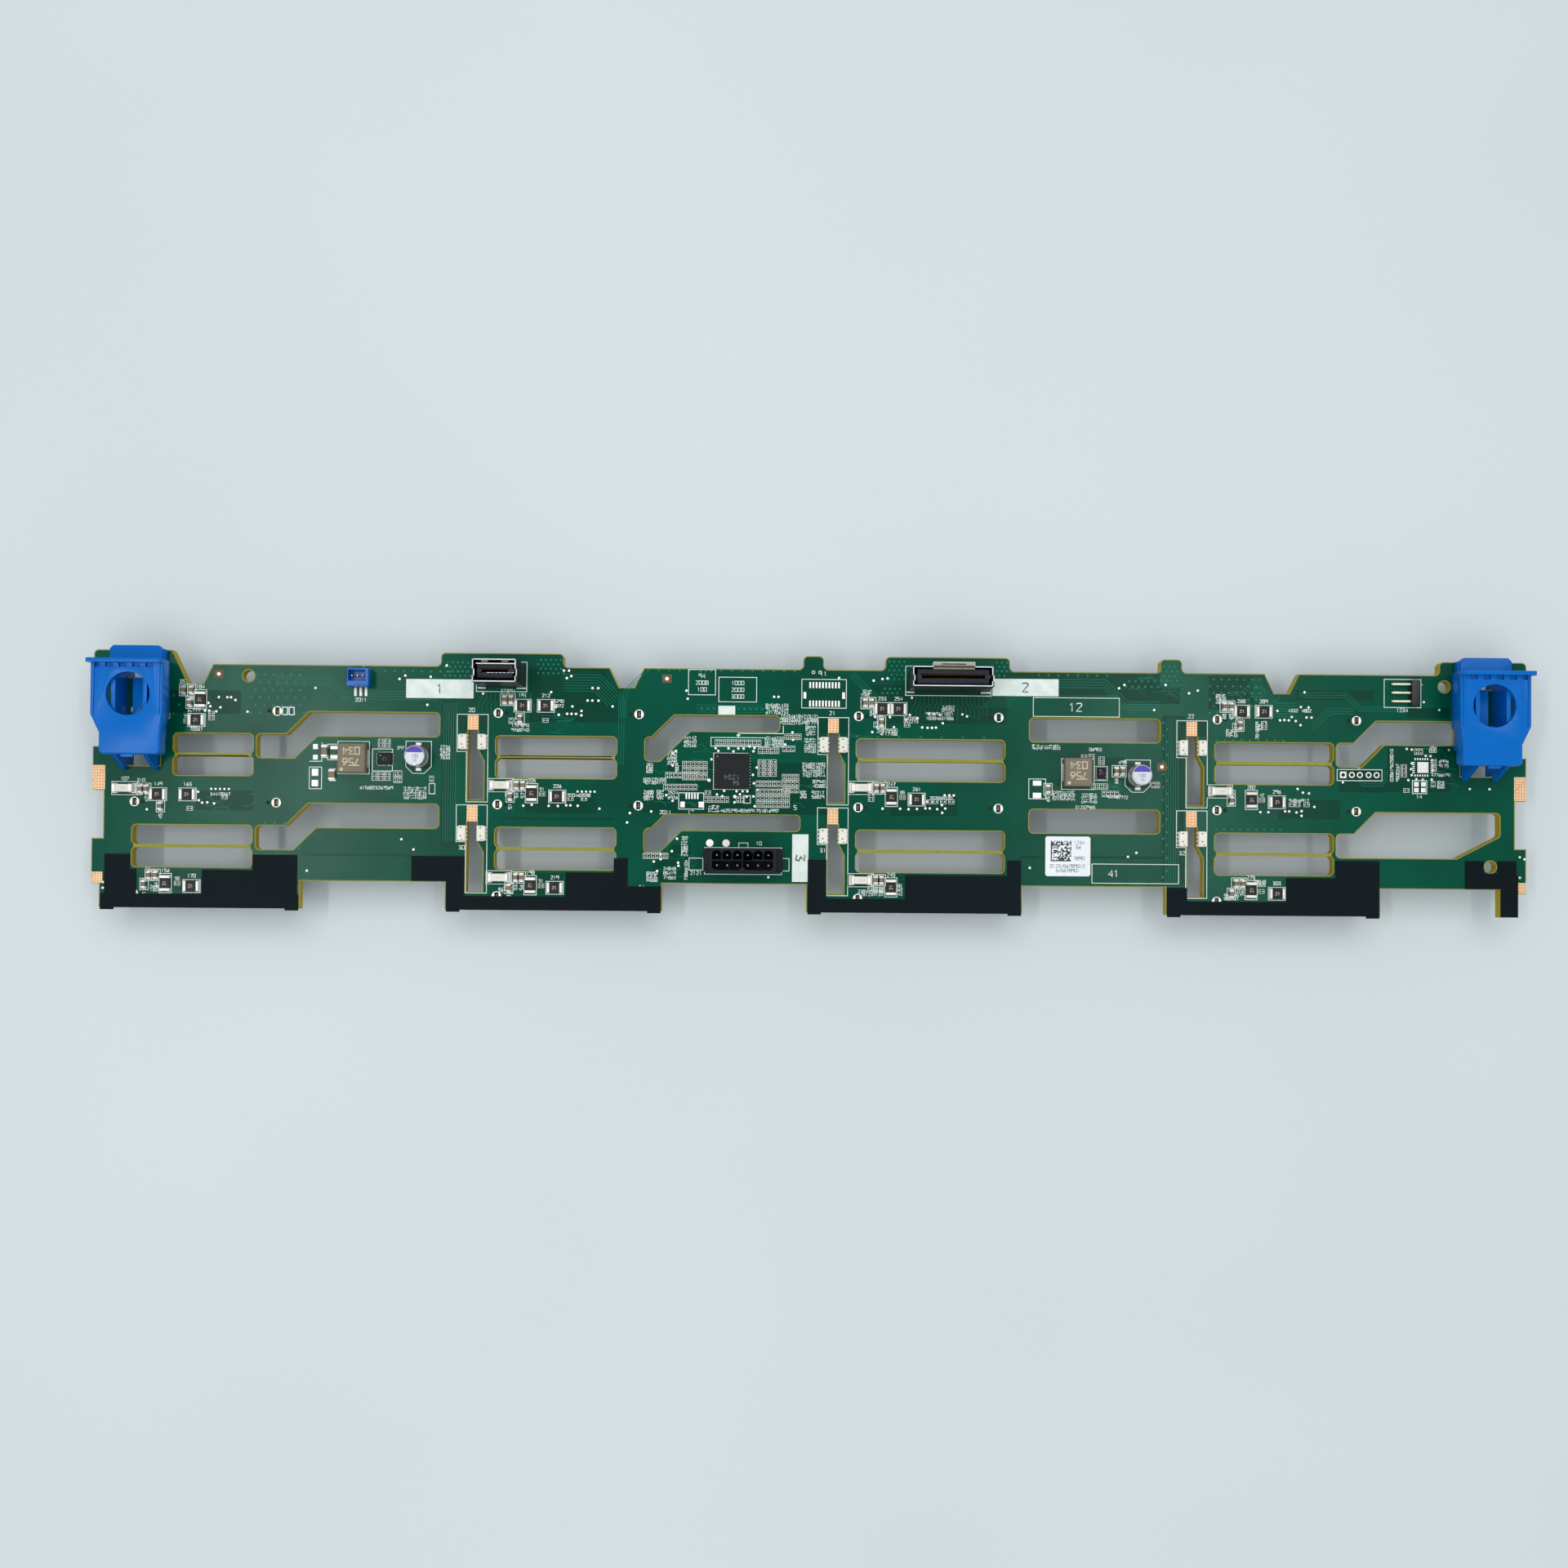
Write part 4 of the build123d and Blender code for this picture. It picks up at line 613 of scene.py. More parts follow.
def write(layer, text, x, y, height, turn=0, width=0.17):
    """Plain figures, centred on a place; turn counts quarter turns."""
    unit = height / 9
    start = -(len(text) * 8 - 2) * unit / 2
    for k, figure in enumerate(text):
        points = []
        for pair in STROKES[figure].split():
            a, b = start + (k * 8 + int(pair[0])) * unit, (int(pair[1]) - 4.5) * unit
            for _ in range(turn):
                a, b = -b, a
            points.append((x + a, y + b))
        layer.line(points, width)


def islands(name):
    """Boxes of the separate solids of a CAD node, in millimetres from the grid's middle and the face."""
    work = bmesh.new()
    work.from_mesh(nodes[name].data)
    bmesh.ops.remove_doubles(work, verts=work.verts, dist=0.001 * MM)
    todo, boxes = set(work.verts), []
    while todo:
        group, edge = set(), {next(iter(todo))}
        while edge:
            group |= edge
            edge = {e.other_vert(v) for v in edge for e in v.link_edges} - group
        todo -= group
        xs = [(v.co.x - grid.x) / MM for v in group]
        ys = [(v.co.y - grid.y) / MM for v in group]
        zs = [(v.co.z - board_high.z) / MM for v in group]
        boxes.append((min(xs), max(xs), min(ys), max(ys), min(zs), max(zs)))
    work.free()
    return sorted(boxes)


def middle(box):
    """Middle of a box's plan."""
    return (box[0] + box[1]) / 2, (box[2] + box[3]) / 2


def spread(box, margin_x, margin_y):
    """A box's plan, widened by a margin."""
    return box[0] - margin_x, box[1] + margin_x, box[2] - margin_y, box[3] + margin_y


legend = Print(LIFT["ink"])
count = 1
for name, side, end in (
    ("fuses", 0.75, 0.65), ("sense_resistors", 0.35, 0.4), ("ceramic_capacitors", 0.35, 0.75),
):
    for box in islands(name):
        long_x = box[1] - box[0] > box[3] - box[2]
        legend.frame(*spread(box, side if long_x else end * 0.8, end if long_x else side + 0.3), 0.18)
        x, _ = middle(box)
        if name != "ceramic_capacitors" or count % 3 == 0:
            write(legend, str(100 + count * 7)[:3], x, box[3] + 1.55, 0.95)
        else:
            write(legend, str(10 + count), x, box[2] - 1.9, 0.95, 1)
        count += 1
for x0, x1, y0, y1 in (
    (-80.7, -65.8, 33.4, 42.2), (46.4, 71.8, 33.4, 42.1), (-12.8, 10, -20.1, -12.2),
    (189.1, 200.1, 31.1, 39.5), (175.1, 188.5, 9.2, 12.5), (15.6, 28.8, 29.4, 37.9),
    (-20.6, -13.2, -0.9, 3.9), (-129.6, -126, 4.2, 10.6), (-129.6, -126, 12.3, 17.9), (-18, -10, 33, 40.5),
    (-9, 2.2, 31, 38.3), (84.4, 110, 27.5, 33.1), (102.1, 127.9, -21.9, -16.2), (197.6, 201.9, 5.5, 9.4),
    (-17.4, -13.3, -18.9, -15.4), (10, 12.2, -19, -15.3), (-11.2, 4.9, 17.8, 20.4),
    (-111.1, -105.2, 9.6, 16.1), (-121.3, -112, 8.7, 18.3), (92.9, 102.6, 5.9, 15), (83.2, 88.2, 3, 8.9),
    (-124.3, -121.2, 12.8, 17.4), (-94.3, -92.6, 3, 6), (-1.4, 0.6, 1, 3.2),
):
    legend.frame(x0, x1, y0, y1, 0.2)

# Outlines of the stepped slots' light guides, in the gaps between the drive columns
for column in (0, 1, 2):
    x = -82.0 + 106.7 * column
    for y, low, high in ((0.7, 14.9, 25.9), (-26.2, 15.1, 26.0)):
        legend.line([(x - 1.4, y), (x - 1.4, y + low), (x - 4.2, y + low), (x - 4.2, y + high),
                     (x + 4.9, y + high), (x + 4.9, y)], 0.2, True)
    write(legend, str(20 + column), x, 27.9, 1.1)
    write(legend, str(30 + column), x - 2.5, -12.8, 1.1)
for x, y, low, high in ((-97.5, 13.9, 9.0, 18.5), (115.6, 10.0, 5.2, 14.8)):
    legend.line([(x - 3.75, high), (x + 3.75, high), (x + 3.75, low + 2.0), (x + 1.7, low),
                 (x - 1.7, low), (x - 3.75, low + 2.0)], 0.2, True)
legend.line([(-3.1, 20.9), (-3.1, 21.7), (10.2, 21.7), (10.2, 24.0)], 0.24)
legend.shape([(-3.1, 20.5), (-2.4, 21.3), (-3.8, 21.3)])
legend.line([(-2.7, -12.2), (-2.7, -10.8), (0.0, -10.8), (0.0, -12.2)], 0.2)
legend.patch(-9.1, -4.1, 27.2, 29.8)
for x in (19.0, 21.0):
    legend.ring(x, 40.0, 0.42, 0.2)
for x0, x1, y0, y1 in ((-10.4, -0.1, 5.0, 15.8), (102.7, 106.6, 8.6, 12.8)):
    legend.frame(x0, x1, y0, y1, 0.16)

# Plain numbers in the places of the board's own print; several keep its digits, without the letters
for x, y, text, height, turn in (
    (97.0, 30.3, "12", 2.4, 0), (108.5, -19.0, "41", 1.9, 0), (-14.0, 38.6, "94", 1.2, 0),
    (-14.0, 36.6, "2008", 1.1, 0), (-14.0, 34.6, "100", 1.1, 0), (-3.4, 36.6, "1000", 1.1, 0),
    (-3.4, 34.6, "2000", 1.1, 0), (-3.4, 32.6, "3000", 1.1, 0), (22.0, 39.6, "11", 1.2, 0),
    (181.5, 13.4, "3", 1.1, 0), (194.5, 30.3, "1234", 1.0, 0), (200.0, 38.0, "7", 1.3, 1),
    (-114.7, 30.6, "2011", 1.0, 0), (-137.0, 27.1, "400", 2.2, 0), (199.6, 4.6, "14", 1.0, 0),
    (-114.0, 41.0, "3", 1.0, 0), (-17.0, -1.9, "12", 1.1, 0), (-24.5, -1.9, "2011", 1.0, 0),
    (-15.3, -19.8, "2121", 1.0, 0), (3.2, -10.9, "10", 1.0, 0), (13.9, -0.2, "5", 1.2, 0),
):
    write(legend, text, x, y, height, turn, 0.17 if height < 1.5 else 0.28)

SMALL_FIGURE, ROW_PITCH = 0.85, 1.15


def numbers(x0, x1, y0, y1, turn=0):
    """Close rows of small random numbers that fill an area."""
    across, along = (x1 - x0, y1 - y0) if turn % 2 == 0 else (y1 - y0, x1 - x0)
    rows = max(1, round(along / ROW_PITCH))
    figures = max(2, round(across / (SMALL_FIGURE * 0.9)))
    for row in range(rows):
        text = "".join(chance.choice("0123456789") for _ in range(figures))
        offset = (row + 0.5) * along / rows
        place = ((x0 + x1) / 2, y0 + offset) if turn % 2 == 0 else (x0 + offset, (y0 + y1) / 2)
        write(legend, text, *place, SMALL_FIGURE, turn, 0.15)


for area in (
    (-31, -24.4, 6.4, 8.2), (-11.8, -8.6, -2, 0.4, 1), (-8.5, 9.2, -2, -0.5), (16, 22.6, 8.8, 13.2),
    (15.4, 17.2, 2.4, 4.9, 1), (18.6, 22.6, 2.4, 4.9), (19, 22.8, 5.6, 8.2), (16.8, 19.8, 21, 24.2, 1),
    (16.4, 20, 15.8, 20.6, 1), (5.2, 10.4, 17.6, 20.8), (-19.2, -15.6, 17.4, 20.8), (-24.4, -21, 12.2, 16.4),
    (-19.7, -17.8, -15, -8.8, 1), (-30.9, -28.2, 1.6, 4.6), (-27.2, -25, 1.8, 4.6, 1),
    (-23.7, -21, 1.8, 4.6), (-30.2, -28.4, 9.6, 12.8, 1), (9.4, 20.5, 24.4, 27.4), (4.8, 11.8, 27.4, 30.6),
    (-102, -95, 1.2, 5.2, 1), (-114.6, -105, 3.9, 5.4), (101, 105, 17, 18.6), (-21.8, -20.6, 9.6, 13, 1),
    (-32.2, -30.4, -26, -23.4), (-25.2, -21, -21.9, -17.9), (-30, -26.6, -22.6, -19.4, 1),
    (97, 103, -0.2, 1.4), (98.8, 103.6, 1.6, 5, 1), (90.2, 97, 2.4, 5.6, 1), (106, 110.8, 3.2, 4.6),
    (190.6, 192.2, 9, 18.8, 1), (192.4, 194, 9, 14.4, 1), (205.4, 208.6, 13.2, 15.8),
    (203, 209.4, 10.4, 11.8), (205, 207.2, 7, 9.4, 1), (202.4, 205, 17.8, 19.6), (84, 92.6, 17.6, 19.2, 1),
    (52.4, 60.8, 26, 28.6), (57.2, 61, 28.6, 30.4), (40.4, 44, 21.4, 23.4), (33.6, 36.4, 33.6, 34.8, 1),
    (45.6, 50.4, 25.2, 27), (53.6, 60.6, 2.4, 3.4), (37.6, 40.4, 22, 24.2, 1), (32.6, 40.2, -26.2, -24.4),
    (43.6, 46, -26.2, -22.4), (150.4, 152, 21.4, 26.4, 1), (160.6, 166.8, 2.6, 3.6),
    (160.4, 163.4, 29.2, 30.6), (164.4, 167.4, 29.2, 30.6), (141.8, 145.4, 22, 24, 1),
    (150, 154, -22.6, -20.6), (141.4, 146, -26.6, -24.8), (138.8, 141.8, 31.6, 34.6, 1),
    (-58, -54.6, 28.6, 31.4), (-70.4, -64.8, 21.4, 24.2), (-53.6, -46.6, 2.4, 3.4),
    (-73.8, -69, -26.2, -24.4), (-165, -161, 21, 24), (-178, -174.4, 29.8, 33.4, 1),
    (-158.8, -152.6, 1.8, 3), (-176, -170, -26.4, -24.6), (-91.4, -88, 13.2, 17.4),
    (-104, -101.6, 15.8, 17.2), (108.8, 113, 2.8, 4.4), (-18.9, -17.6, -22, -16, 1),
):
    numbers(*area)
legend.lay("legend", [ink], "label_white")

blocks = Print(LIFT["blocks"])
for x0, x1, y0, y1 in (
    (-101.4, -81.5, 31.3, 36.9), (72.2, 91.9, 33.5, 38.6), (13.1, 17.9, -22.2, -8.1),
):
    blocks.patch(x0, x1, y0, y1)
blocks.lay("legend_blocks", [ink], "label_white")
block_text = Print(LIFT["figures"])
for figure, x, y, turn in (("1", -91.5, 34.1, 0), ("2", 82.0, 36.05, 0), ("3", 15.5, -15.1, 3)):
    write(block_text, figure, x, y, 2.6, turn, 0.36)
block_text.lay("block_numbers", [dark_print], "label_white")

# Insulating films.
# Five die-cut black films with glue on the back, laid along the lower edge and just past it,
# so that the board's bare edge can't touch the drive cage.
film_black, tree, shader, marks = coated("insulating_film", "091318", "0d191e", 0.42, 0.56, 25.0, 1500.0)
creases = sum_of(tree, "MULTIPLY", marks["Grain"], 0.2)
relief(tree, shader, sum_of(tree, "ADD", marks["Cloud"], creases), 0.12)
shader.inputs["Specular IOR Level"].default_value = 0.07
for k in range(5):
    dress(f"film_{k + 1}", film_black)
fold = Print(0.26)
fold.patch(75.9, 77.3, -27.6, -20.0)
fold.lay("film_3_corner", [film_black], "film")

# Drive connectors.
# Twelve glass-filled black nylon housings pressed against the far side, each with a keyed socket,
# plated contacts along its walls and two tinned steel locks that pass through the board.
black_nylon = finish("black_nylon", "1b1d20", "26282b", 0.48, 0.12, 0.03, 150.0, 2200.0)
gold = finish("gold_plate", "e3b964", "c79a45", 0.26, 0.08, 0.01, 400.0, 2500.0, metal=1.0)
tin = finish("tin_plate", "d9d8d2", "a9a8a2", 0.34, 0.12, 0.03, 300.0, 2600.0, metal=1.0)


def rounded_copy(name, new_name, material, width, segments=2):
    """A copy of a CAD node with small rounded edges, which stands for it."""
    work = bmesh.new()
    work.from_mesh(nodes[name].data)
    bmesh.ops.remove_doubles(work, verts=work.verts, dist=0.001 * MM)
    bmesh.ops.dissolve_limit(work, angle_limit=radians(1.0), verts=work.verts, edges=work.edges)
    mesh = bpy.data.meshes.new(new_name)
    work.to_mesh(mesh)
    work.free()
    mesh.materials.clear()
    obj = add_piece(new_name, mesh, [material])
    bevel = obj.modifiers.new("edges", "BEVEL")
    bevel.width = width * MM
    bevel.segments = segments
    bevel.limit_method = "ANGLE"
    bevel.angle_limit = radians(35)
    bevel.harden_normals = True
    mesh.shade_smooth()
    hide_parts(name)


for k in range(12):
    rounded_copy(f"drive_connector_{k + 1}", f"drive_housing_{k + 1}", black_nylon, 0.14)
    dress(f"drive_contacts_{k + 1}", gold)
dull_tin = finish("dull_tin", "7d7a72", "57554f", 0.4, 0.12, 0.03, 300.0, 2600.0, metal=0.8)
rounded_copy("board_locks", "lock_pegs", dull_tin, 0.08, 1)

# Cable connectors for signals.
# Two upright sockets: a folded steel shell with a bright rim round a dark moulded insulator,
# two bars with the card slot between them, and rows of small plated contacts in the slot.
# The folded steel's walls are painted near-black: painted shade and painted dark reflection on steel as
# silver as its bright rim
painted_shade_shell = finish("painted_shade_shell", "15181c", "1e2227", 0.36, 0.08, 0.02, 200.0, 2000.0, metal=0.3)
bright_rim = finish("bright_rim", "dfe6e8", "b9c2c5", 0.32, 0.08, 0.02, 300.0, 2400.0, metal=0.4)
insulator = finish("blue_grey_insulator", "1d232e", "151a23", 0.46, 0.08, 0.02, 200.0, 2400.0, shine=0.2)
latch_tab = finish("steel_tab", "a49a84", "857c68", 0.36, 0.1, 0.03, 300.0, 2400.0, metal=0.6)
# Near-black finish for painted shade in the card slot
painted_slot_shade = finish("painted_slot_shade", "07090b", "0c0f12", 0.6, 0.08, 0.01, 200.0, 2400.0)


class Build:
    """Solid shapes gathered into one mesh, in millimetres from the grid's middle and the board's face."""

    def __init__(self):
        self.points, self.faces, self.marks = [], [], []

    def ring(self, outline, z):
        start = len(self.points)
        self.points += [(grid.x + x * MM, grid.y + y * MM, board_high.z + z * MM) for x, y in outline]
        return list(range(start, len(self.points)))

    def face(self, corners, mark):
        self.faces.append(corners)
        self.marks.append(mark)

    def stack(self, rings, mark, top=None):
        """Rings of equal count joined into a closed solid."""
        for low, high in zip(rings, rings[1:]):
            for i in range(len(low)):
                j = (i + 1) % len(low)
                self.face([low[i], low[j], high[j], high[i]], mark)
        self.face(rings[0][::-1], mark)
        self.face(list(rings[-1]), mark if top is None else top)

    def block(self, x0, x1, y0, y1, z0, z1, mark=0, edge=0.06, corner=None, top=None):
        """A box with cut corners and a bevel round its top."""
        c = min(edge if corner is None else corner, (x1 - x0) / 3, (y1 - y0) / 3)
        e = min(edge, (z1 - z0) / 2, (x1 - x0) / 3, (y1 - y0) / 3)

        def plan(s):
            return [(x0 + s + c, y0 + s), (x1 - s - c, y0 + s), (x1 - s, y0 + s + c), (x1 - s, y1 - s - c),
                    (x1 - s - c, y1 - s), (x0 + s + c, y1 - s), (x0 + s, y1 - s - c), (x0 + s, y0 + s + c)]

        c -= min(c * 0.4, e * 0.4)
        rings = [self.ring(plan(0), z0), self.ring(plan(0), z1 - e), self.ring(plan(e), z1)]
        self.stack(rings, mark, top)

    def lathe(self, x, y, profile, mark, sides=40, tops=None):
        """A turned shape from pairs of radius and height, from the foot up."""
        self.stack([self.ring(circle(x, y, r, sides), z) for r, z in profile], mark, tops)

    def done(self, name, materials, slot, *nodes_replaced):
        """Turn what is gathered into a piece, which stands for the named CAD nodes."""
        mesh = bpy.data.meshes.new(name)
        mesh.from_pydata(self.points, [], self.faces)
        mesh.polygons.foreach_set("material_index", self.marks)
        piece = add_piece(name, mesh, materials)
        if nodes_replaced:
            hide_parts(*nodes_replaced)


# Places of the materials in the connector's list, and the folded steel's measures
SHELL, RIM, TAB, BARS, SLOT_SHADE = range(5)
WALL, RIM_WIDTH, STEP_BACK, THIN = 0.35, 0.32, 0.34, 0.02
for number, tab in ((1, None), (2, (-5.9, 6.2))):
    x0, x1, y0, y1, _, z1 = box = islands(f"signal_shell_{number}")[0]
    bx0, bx1, by0, by1, _, bz1 = islands(f"signal_body_{number}")[0]
    mid_x, mid_y = middle(box)
    in_x0, in_x1, in_y0, in_y1 = x0 + WALL, x1 - WALL, y0 + WALL, y1 - WALL
    end, bars_end, top = x1 - STEP_BACK, y1 - 1.6, z1 - 0.5
    shell = Build()
    for plan in ((x0, x1, y0, in_y0), (x0, x1, in_y1, y1),
                 (x0, in_x0, in_y0, in_y1), (in_x1, x1, in_y0, in_y1)):
        shell.block(*plan, 0.0, z1 - 0.3, SHELL, THIN)
    # The bars of the moulding reach the folded walls
    for a, b, c, d in ((in_x0, bx0 + 0.1, in_y0, bars_end), (bx1 - 0.1, in_x1, in_y0, bars_end),
                       (bx0 + 0.1, bx1 - 0.1, in_y0, by0 + 0.1),
                       (bx0 + 0.1, bx1 - 0.1, by1 - 0.1, bars_end)):
        if b - a > 0.05 and d - c > 0.05:
            shell.block(a, b, c, d, top - 3.0, top - 0.2, BARS, THIN)
    # Near-black blocks at the card slot's ends: painted shade for the slot's depth
    for a, b in ((x0 + 1.3, x0 + 2.6), (x1 - 2.6, x1 - 0.9)):
        shell.block(a, b, mid_y - 0.5, mid_y + 0.45, bz1 - 0.5, bz1 + 0.03, SLOT_SHADE, THIN)
    # Bright edge of the folded steel, joggled at half height on both ends
    bright = []
    for low, high, inward in ((0.0, 0.26, 0.0), (0.26, 0.56, 0.34), (0.56, 1.0, 0.0)):
        for x in (x0 + inward, end + inward - RIM_WIDTH):
            bright.append((x, x + RIM_WIDTH, y0 + low * (y1 - y0), y0 + high * (y1 - y0)))
    bright.append((x0, end, y0, y0 + RIM_WIDTH))
    for a, b in ((x0, mid_x + tab[0]), (mid_x + tab[1], end)) if tab else ((x0, end),):
        bright.append((a, b, y1 - RIM_WIDTH, y1))
    for plan in bright:
        shell.block(*plan, top, z1, RIM, 0.06)
    if tab:
        a, b = mid_x + tab[0], mid_x + tab[1]
        extras = [(a, b, y1 - 0.8, y1 + 0.3, 5.0, z1 - 0.8, TAB, 0.1),
                  (a + 0.3, b - 0.3, y1 + 0.2, y1 + 1.1, 9.6, top, TAB, 0.1),
                  (a + 2.6, b - 2.6, y1 + 0.5, y1 + 0.8, z1 - 0.7, z1 - 0.4, SHELL, 0.1),
                  (a, b, y1 + 1.0, y1 + 1.26, 9.6, z1 - 0.3, RIM, 0.08)]
        extras += [(x, x + 0.26, y1 - 0.3, y1 + 1.2, 9.6, z1 - 0.3, RIM, 0.08) for x in (a, b - 0.26)]
    else:
        extras = [(x0 + 1.1, x1 - 0.4, y1 - 1.5, y1 - 1.18, z1 - 2.0, z1 - 0.2, RIM, 0.06)]
        extras += [(x, x + 0.8, mid_y - 0.68, mid_y - 0.54, bz1 - 0.5, bz1 + 0.04, RIM, THIN)
                   for x in (x0 + 4.2 + 1.15 * k for k in range(7))]
        extras += [(x - 1.0, x + 1.0, y1 - 0.8, y1 - 0.45, z1 - 1.2, z1 - 0.4, TAB, 0.1)
                   for x in (mid_x - 2.9, mid_x + 2.9)]
    extras += [(a, b, y0 - 0.6, y0 - 0.15, 0.0, 0.5, RIM, 0.12)
               for a, b in ((x0 - 0.75, x0 + 1.6), (x1 - 2.2, x1 + 0.8))]
    for extra in extras:
        shell.block(*extra)
    shell_finishes = [painted_shade_shell, bright_rim, latch_tab, insulator, painted_slot_shade]
    shell.done(f"signal_shell_dressed_{number}", shell_finishes, "tinned_metal", f"signal_shell_{number}")
    rounded_copy(f"signal_body_{number}", f"signal_insulator_{number}", insulator, 0.12)
    teeth = Build()
    x = bx0 + 1.7
    while x < bx1 - 1.7:
        for y in (mid_y - 0.62, mid_y + 0.46):
            teeth.block(x - 0.12, x + 0.12, y, y + 0.16, 4.2, bz1 - 0.9, 0, 0.04)
        x += 0.6
    teeth.done(f"signal_contacts_{number}", [gold], "gold_contact")

# Power header.
# Twelve ways in two rows at 3 mm: a black moulding with six keyed cells above and two long ones
# below, tinned square pins with pointed tips, and an ear at each end that is screwed or riveted down.
blue_black = finish("header_moulding", "12161f", "0d1017", 0.42, 0.1, 0.03, 200.0, 2200.0, shine=0.16)
rounded_copy("power_header", "power_header_body", blue_black, 0.16)
pins = Build()
for box in islands("power_pins"):
    (x, y), half, (z0, z1) = middle(box), (box[1] - box[0]) / 2, box[4:]
    pins.stack([pins.ring([(x + a * s, y + b * s) for a, b in ((-1, -1), (1, -1), (1, 1), (-1, 1))], z)
                for s, z in ((half, z0), (half, z1 - 0.6), (half * 0.45, z1))], 0)
pins.done("power_header_pins", [tin], "tinned_metal", "power_pins")

# Small three-way socket and right-angle header.
# The socket is a blue moulding with three tinned leads; the header is a black comb that holds
# three square pins bent along the board.
blue_plastic = finish("blue_plastic", "0a63b8", "0a56a6", 0.34, 0.08, 0.02, 80.0, 1800.0)
rounded_copy("small_socket", "small_socket_body", blue_plastic, 0.2)
rounded_copy("small_leads", "small_socket_leads", solder, 0.1)
rounded_copy("angle_header_base", "angle_header_comb", black_nylon, 0.15)
cream_pin = finish("header_pin", "efe6cf", "cfc4a4", 0.3, 0.08, 0.02, 400.0, 2400.0, metal=0.6)
legs = Build()
for x0, x1, y0, y1, z0, z1 in islands("angle_header_pins"):
    legs.block(x0 + 0.25, x1, y0, y1, z0, z1, 0, 0.1)
    legs.block(x0, x0 + 0.5, y0 + 0.12, y1 - 0.12, z0 + 0.12, z1 - 0.12, 0, 0.12)
legs.done("angle_header_legs", [cream_pin], "tinned_metal", "angle_header_pins")
box = islands("small_socket")[0]
mid_x, mid_y = middle(box)
posts = Build()
for x in (mid_x - 1.85, mid_x - 0.3, mid_x + 1.25):
    posts.block(x - 0.2, x + 0.2, mid_y + 0.3, mid_y + 0.7, 0.9, box[5] - 0.8, 0, 0.08)
posts.done("small_socket_posts", [gold], "gold_contact")

# Chips and inductors.
# The controller and the regulators are moulded resin packages with a dot at the first lead;
# the inductors are pressed iron powder blocks on wide tinned terminals.
resin = finish("chip_resin", "14191b", "0f1315", 0.5, 0.1, 0.02, 120.0, 3000.0, shine=0.2)
chip_mark = finish("chip_mark", "6f767a", "565c60", 0.55, 0.08, 0.01, 300.0, 3000.0)
pressed_iron = finish("pressed_iron", "7d7462", "675f4f", 0.62, 0.1, 0.06, 260.0, 2600.0)
iron_print = finish("inductor_print", "c9bfa0", "a79d80", 0.55, 0.08, 0.02, 300.0, 3000.0)
chips, packages = Build(), []
for name, leads in (("controller_chip", 12), ("regulator_1", 6), ("regulator_2", 6)):
    x0, x1, y0, y1, _, z1 = box = islands(name)[0]
    for k in range(leads):
        along = (k + 0.5) / leads
        x, y = x0 + (x1 - x0) * along, y0 + (y1 - y0) * along
        for plan in ((x - 0.14, x + 0.14, y0 - 0.3, y0 + 0.1), (x - 0.14, x + 0.14, y1 - 0.1, y1 + 0.3),
                     (x0 - 0.3, x0 + 0.1, y - 0.14, y + 0.14), (x1 - 0.1, x1 + 0.3, y - 0.14, y + 0.14)):
            chips.block(*plan, 0.0, 0.22, 1, 0.04)
    chips.block(x0, x1, y0, y1, 0.05, z1, 0, 0.15)
    packages.append(box)
chips.done("chip_packages", [resin, tin], "chip_resin", "controller_chip", "regulator_1", "regulator_2")
PRINTED = 0.012
for k, box in enumerate(packages):
    x0, x1, y0, y1, _, z1 = box
    x, y = middle(box)
    print_on = Print(z1 + PRINTED)
    print_on.dot(x0 + 0.9, y1 - 0.9, 0.28)
    if k == 0:
        write(print_on, "1234", x, y0 + 3.4, 1.3, 2, 0.16)
        write(print_on, "56", x + 1.2, y0 + 1.7, 1.1, 2, 0.14)
    else:
        write(print_on, "12", x, y, 0.8, 2, 0.12)
    print_on.lay(f"chip_marks_{k + 1}", [chip_mark], "chip_resin")
for number in (1, 2):
    x0, x1, y0, y1, _, z1 = box = islands(f"inductor_{number}")[0]
    x, y = middle(box)
    coil = Build()
    coil.block(x0, x1, y0, y1, 0.0, z1, 0, 0.35)
    for a, b in ((x0 - 0.5, x0 + 0.8), (x1 - 0.8, x1 + 0.5)):
        coil.block(a, b, y - 2.6, y + 2.6, 0.0, 0.35, 1, 0.06)
    coil.done(f"inductor_block_{number}", [pressed_iron, tin], "inductor_resin", f"inductor_{number}")
    # These figures repeat the digits of the photo's code, a departure
    print_on = Print(z1 + PRINTED)
    write(print_on, "034", x, y1 - 2.2, 2.0, 2, 0.34)
    write(print_on, "756", x, y0 + 3.1, 2.0, 2, 0.34)
    print_on.dot(x0 + 1.2, y0 + 0.95, 0.55)
    print_on.lay(f"inductor_print_{number}", [iron_print], "inductor_resin")

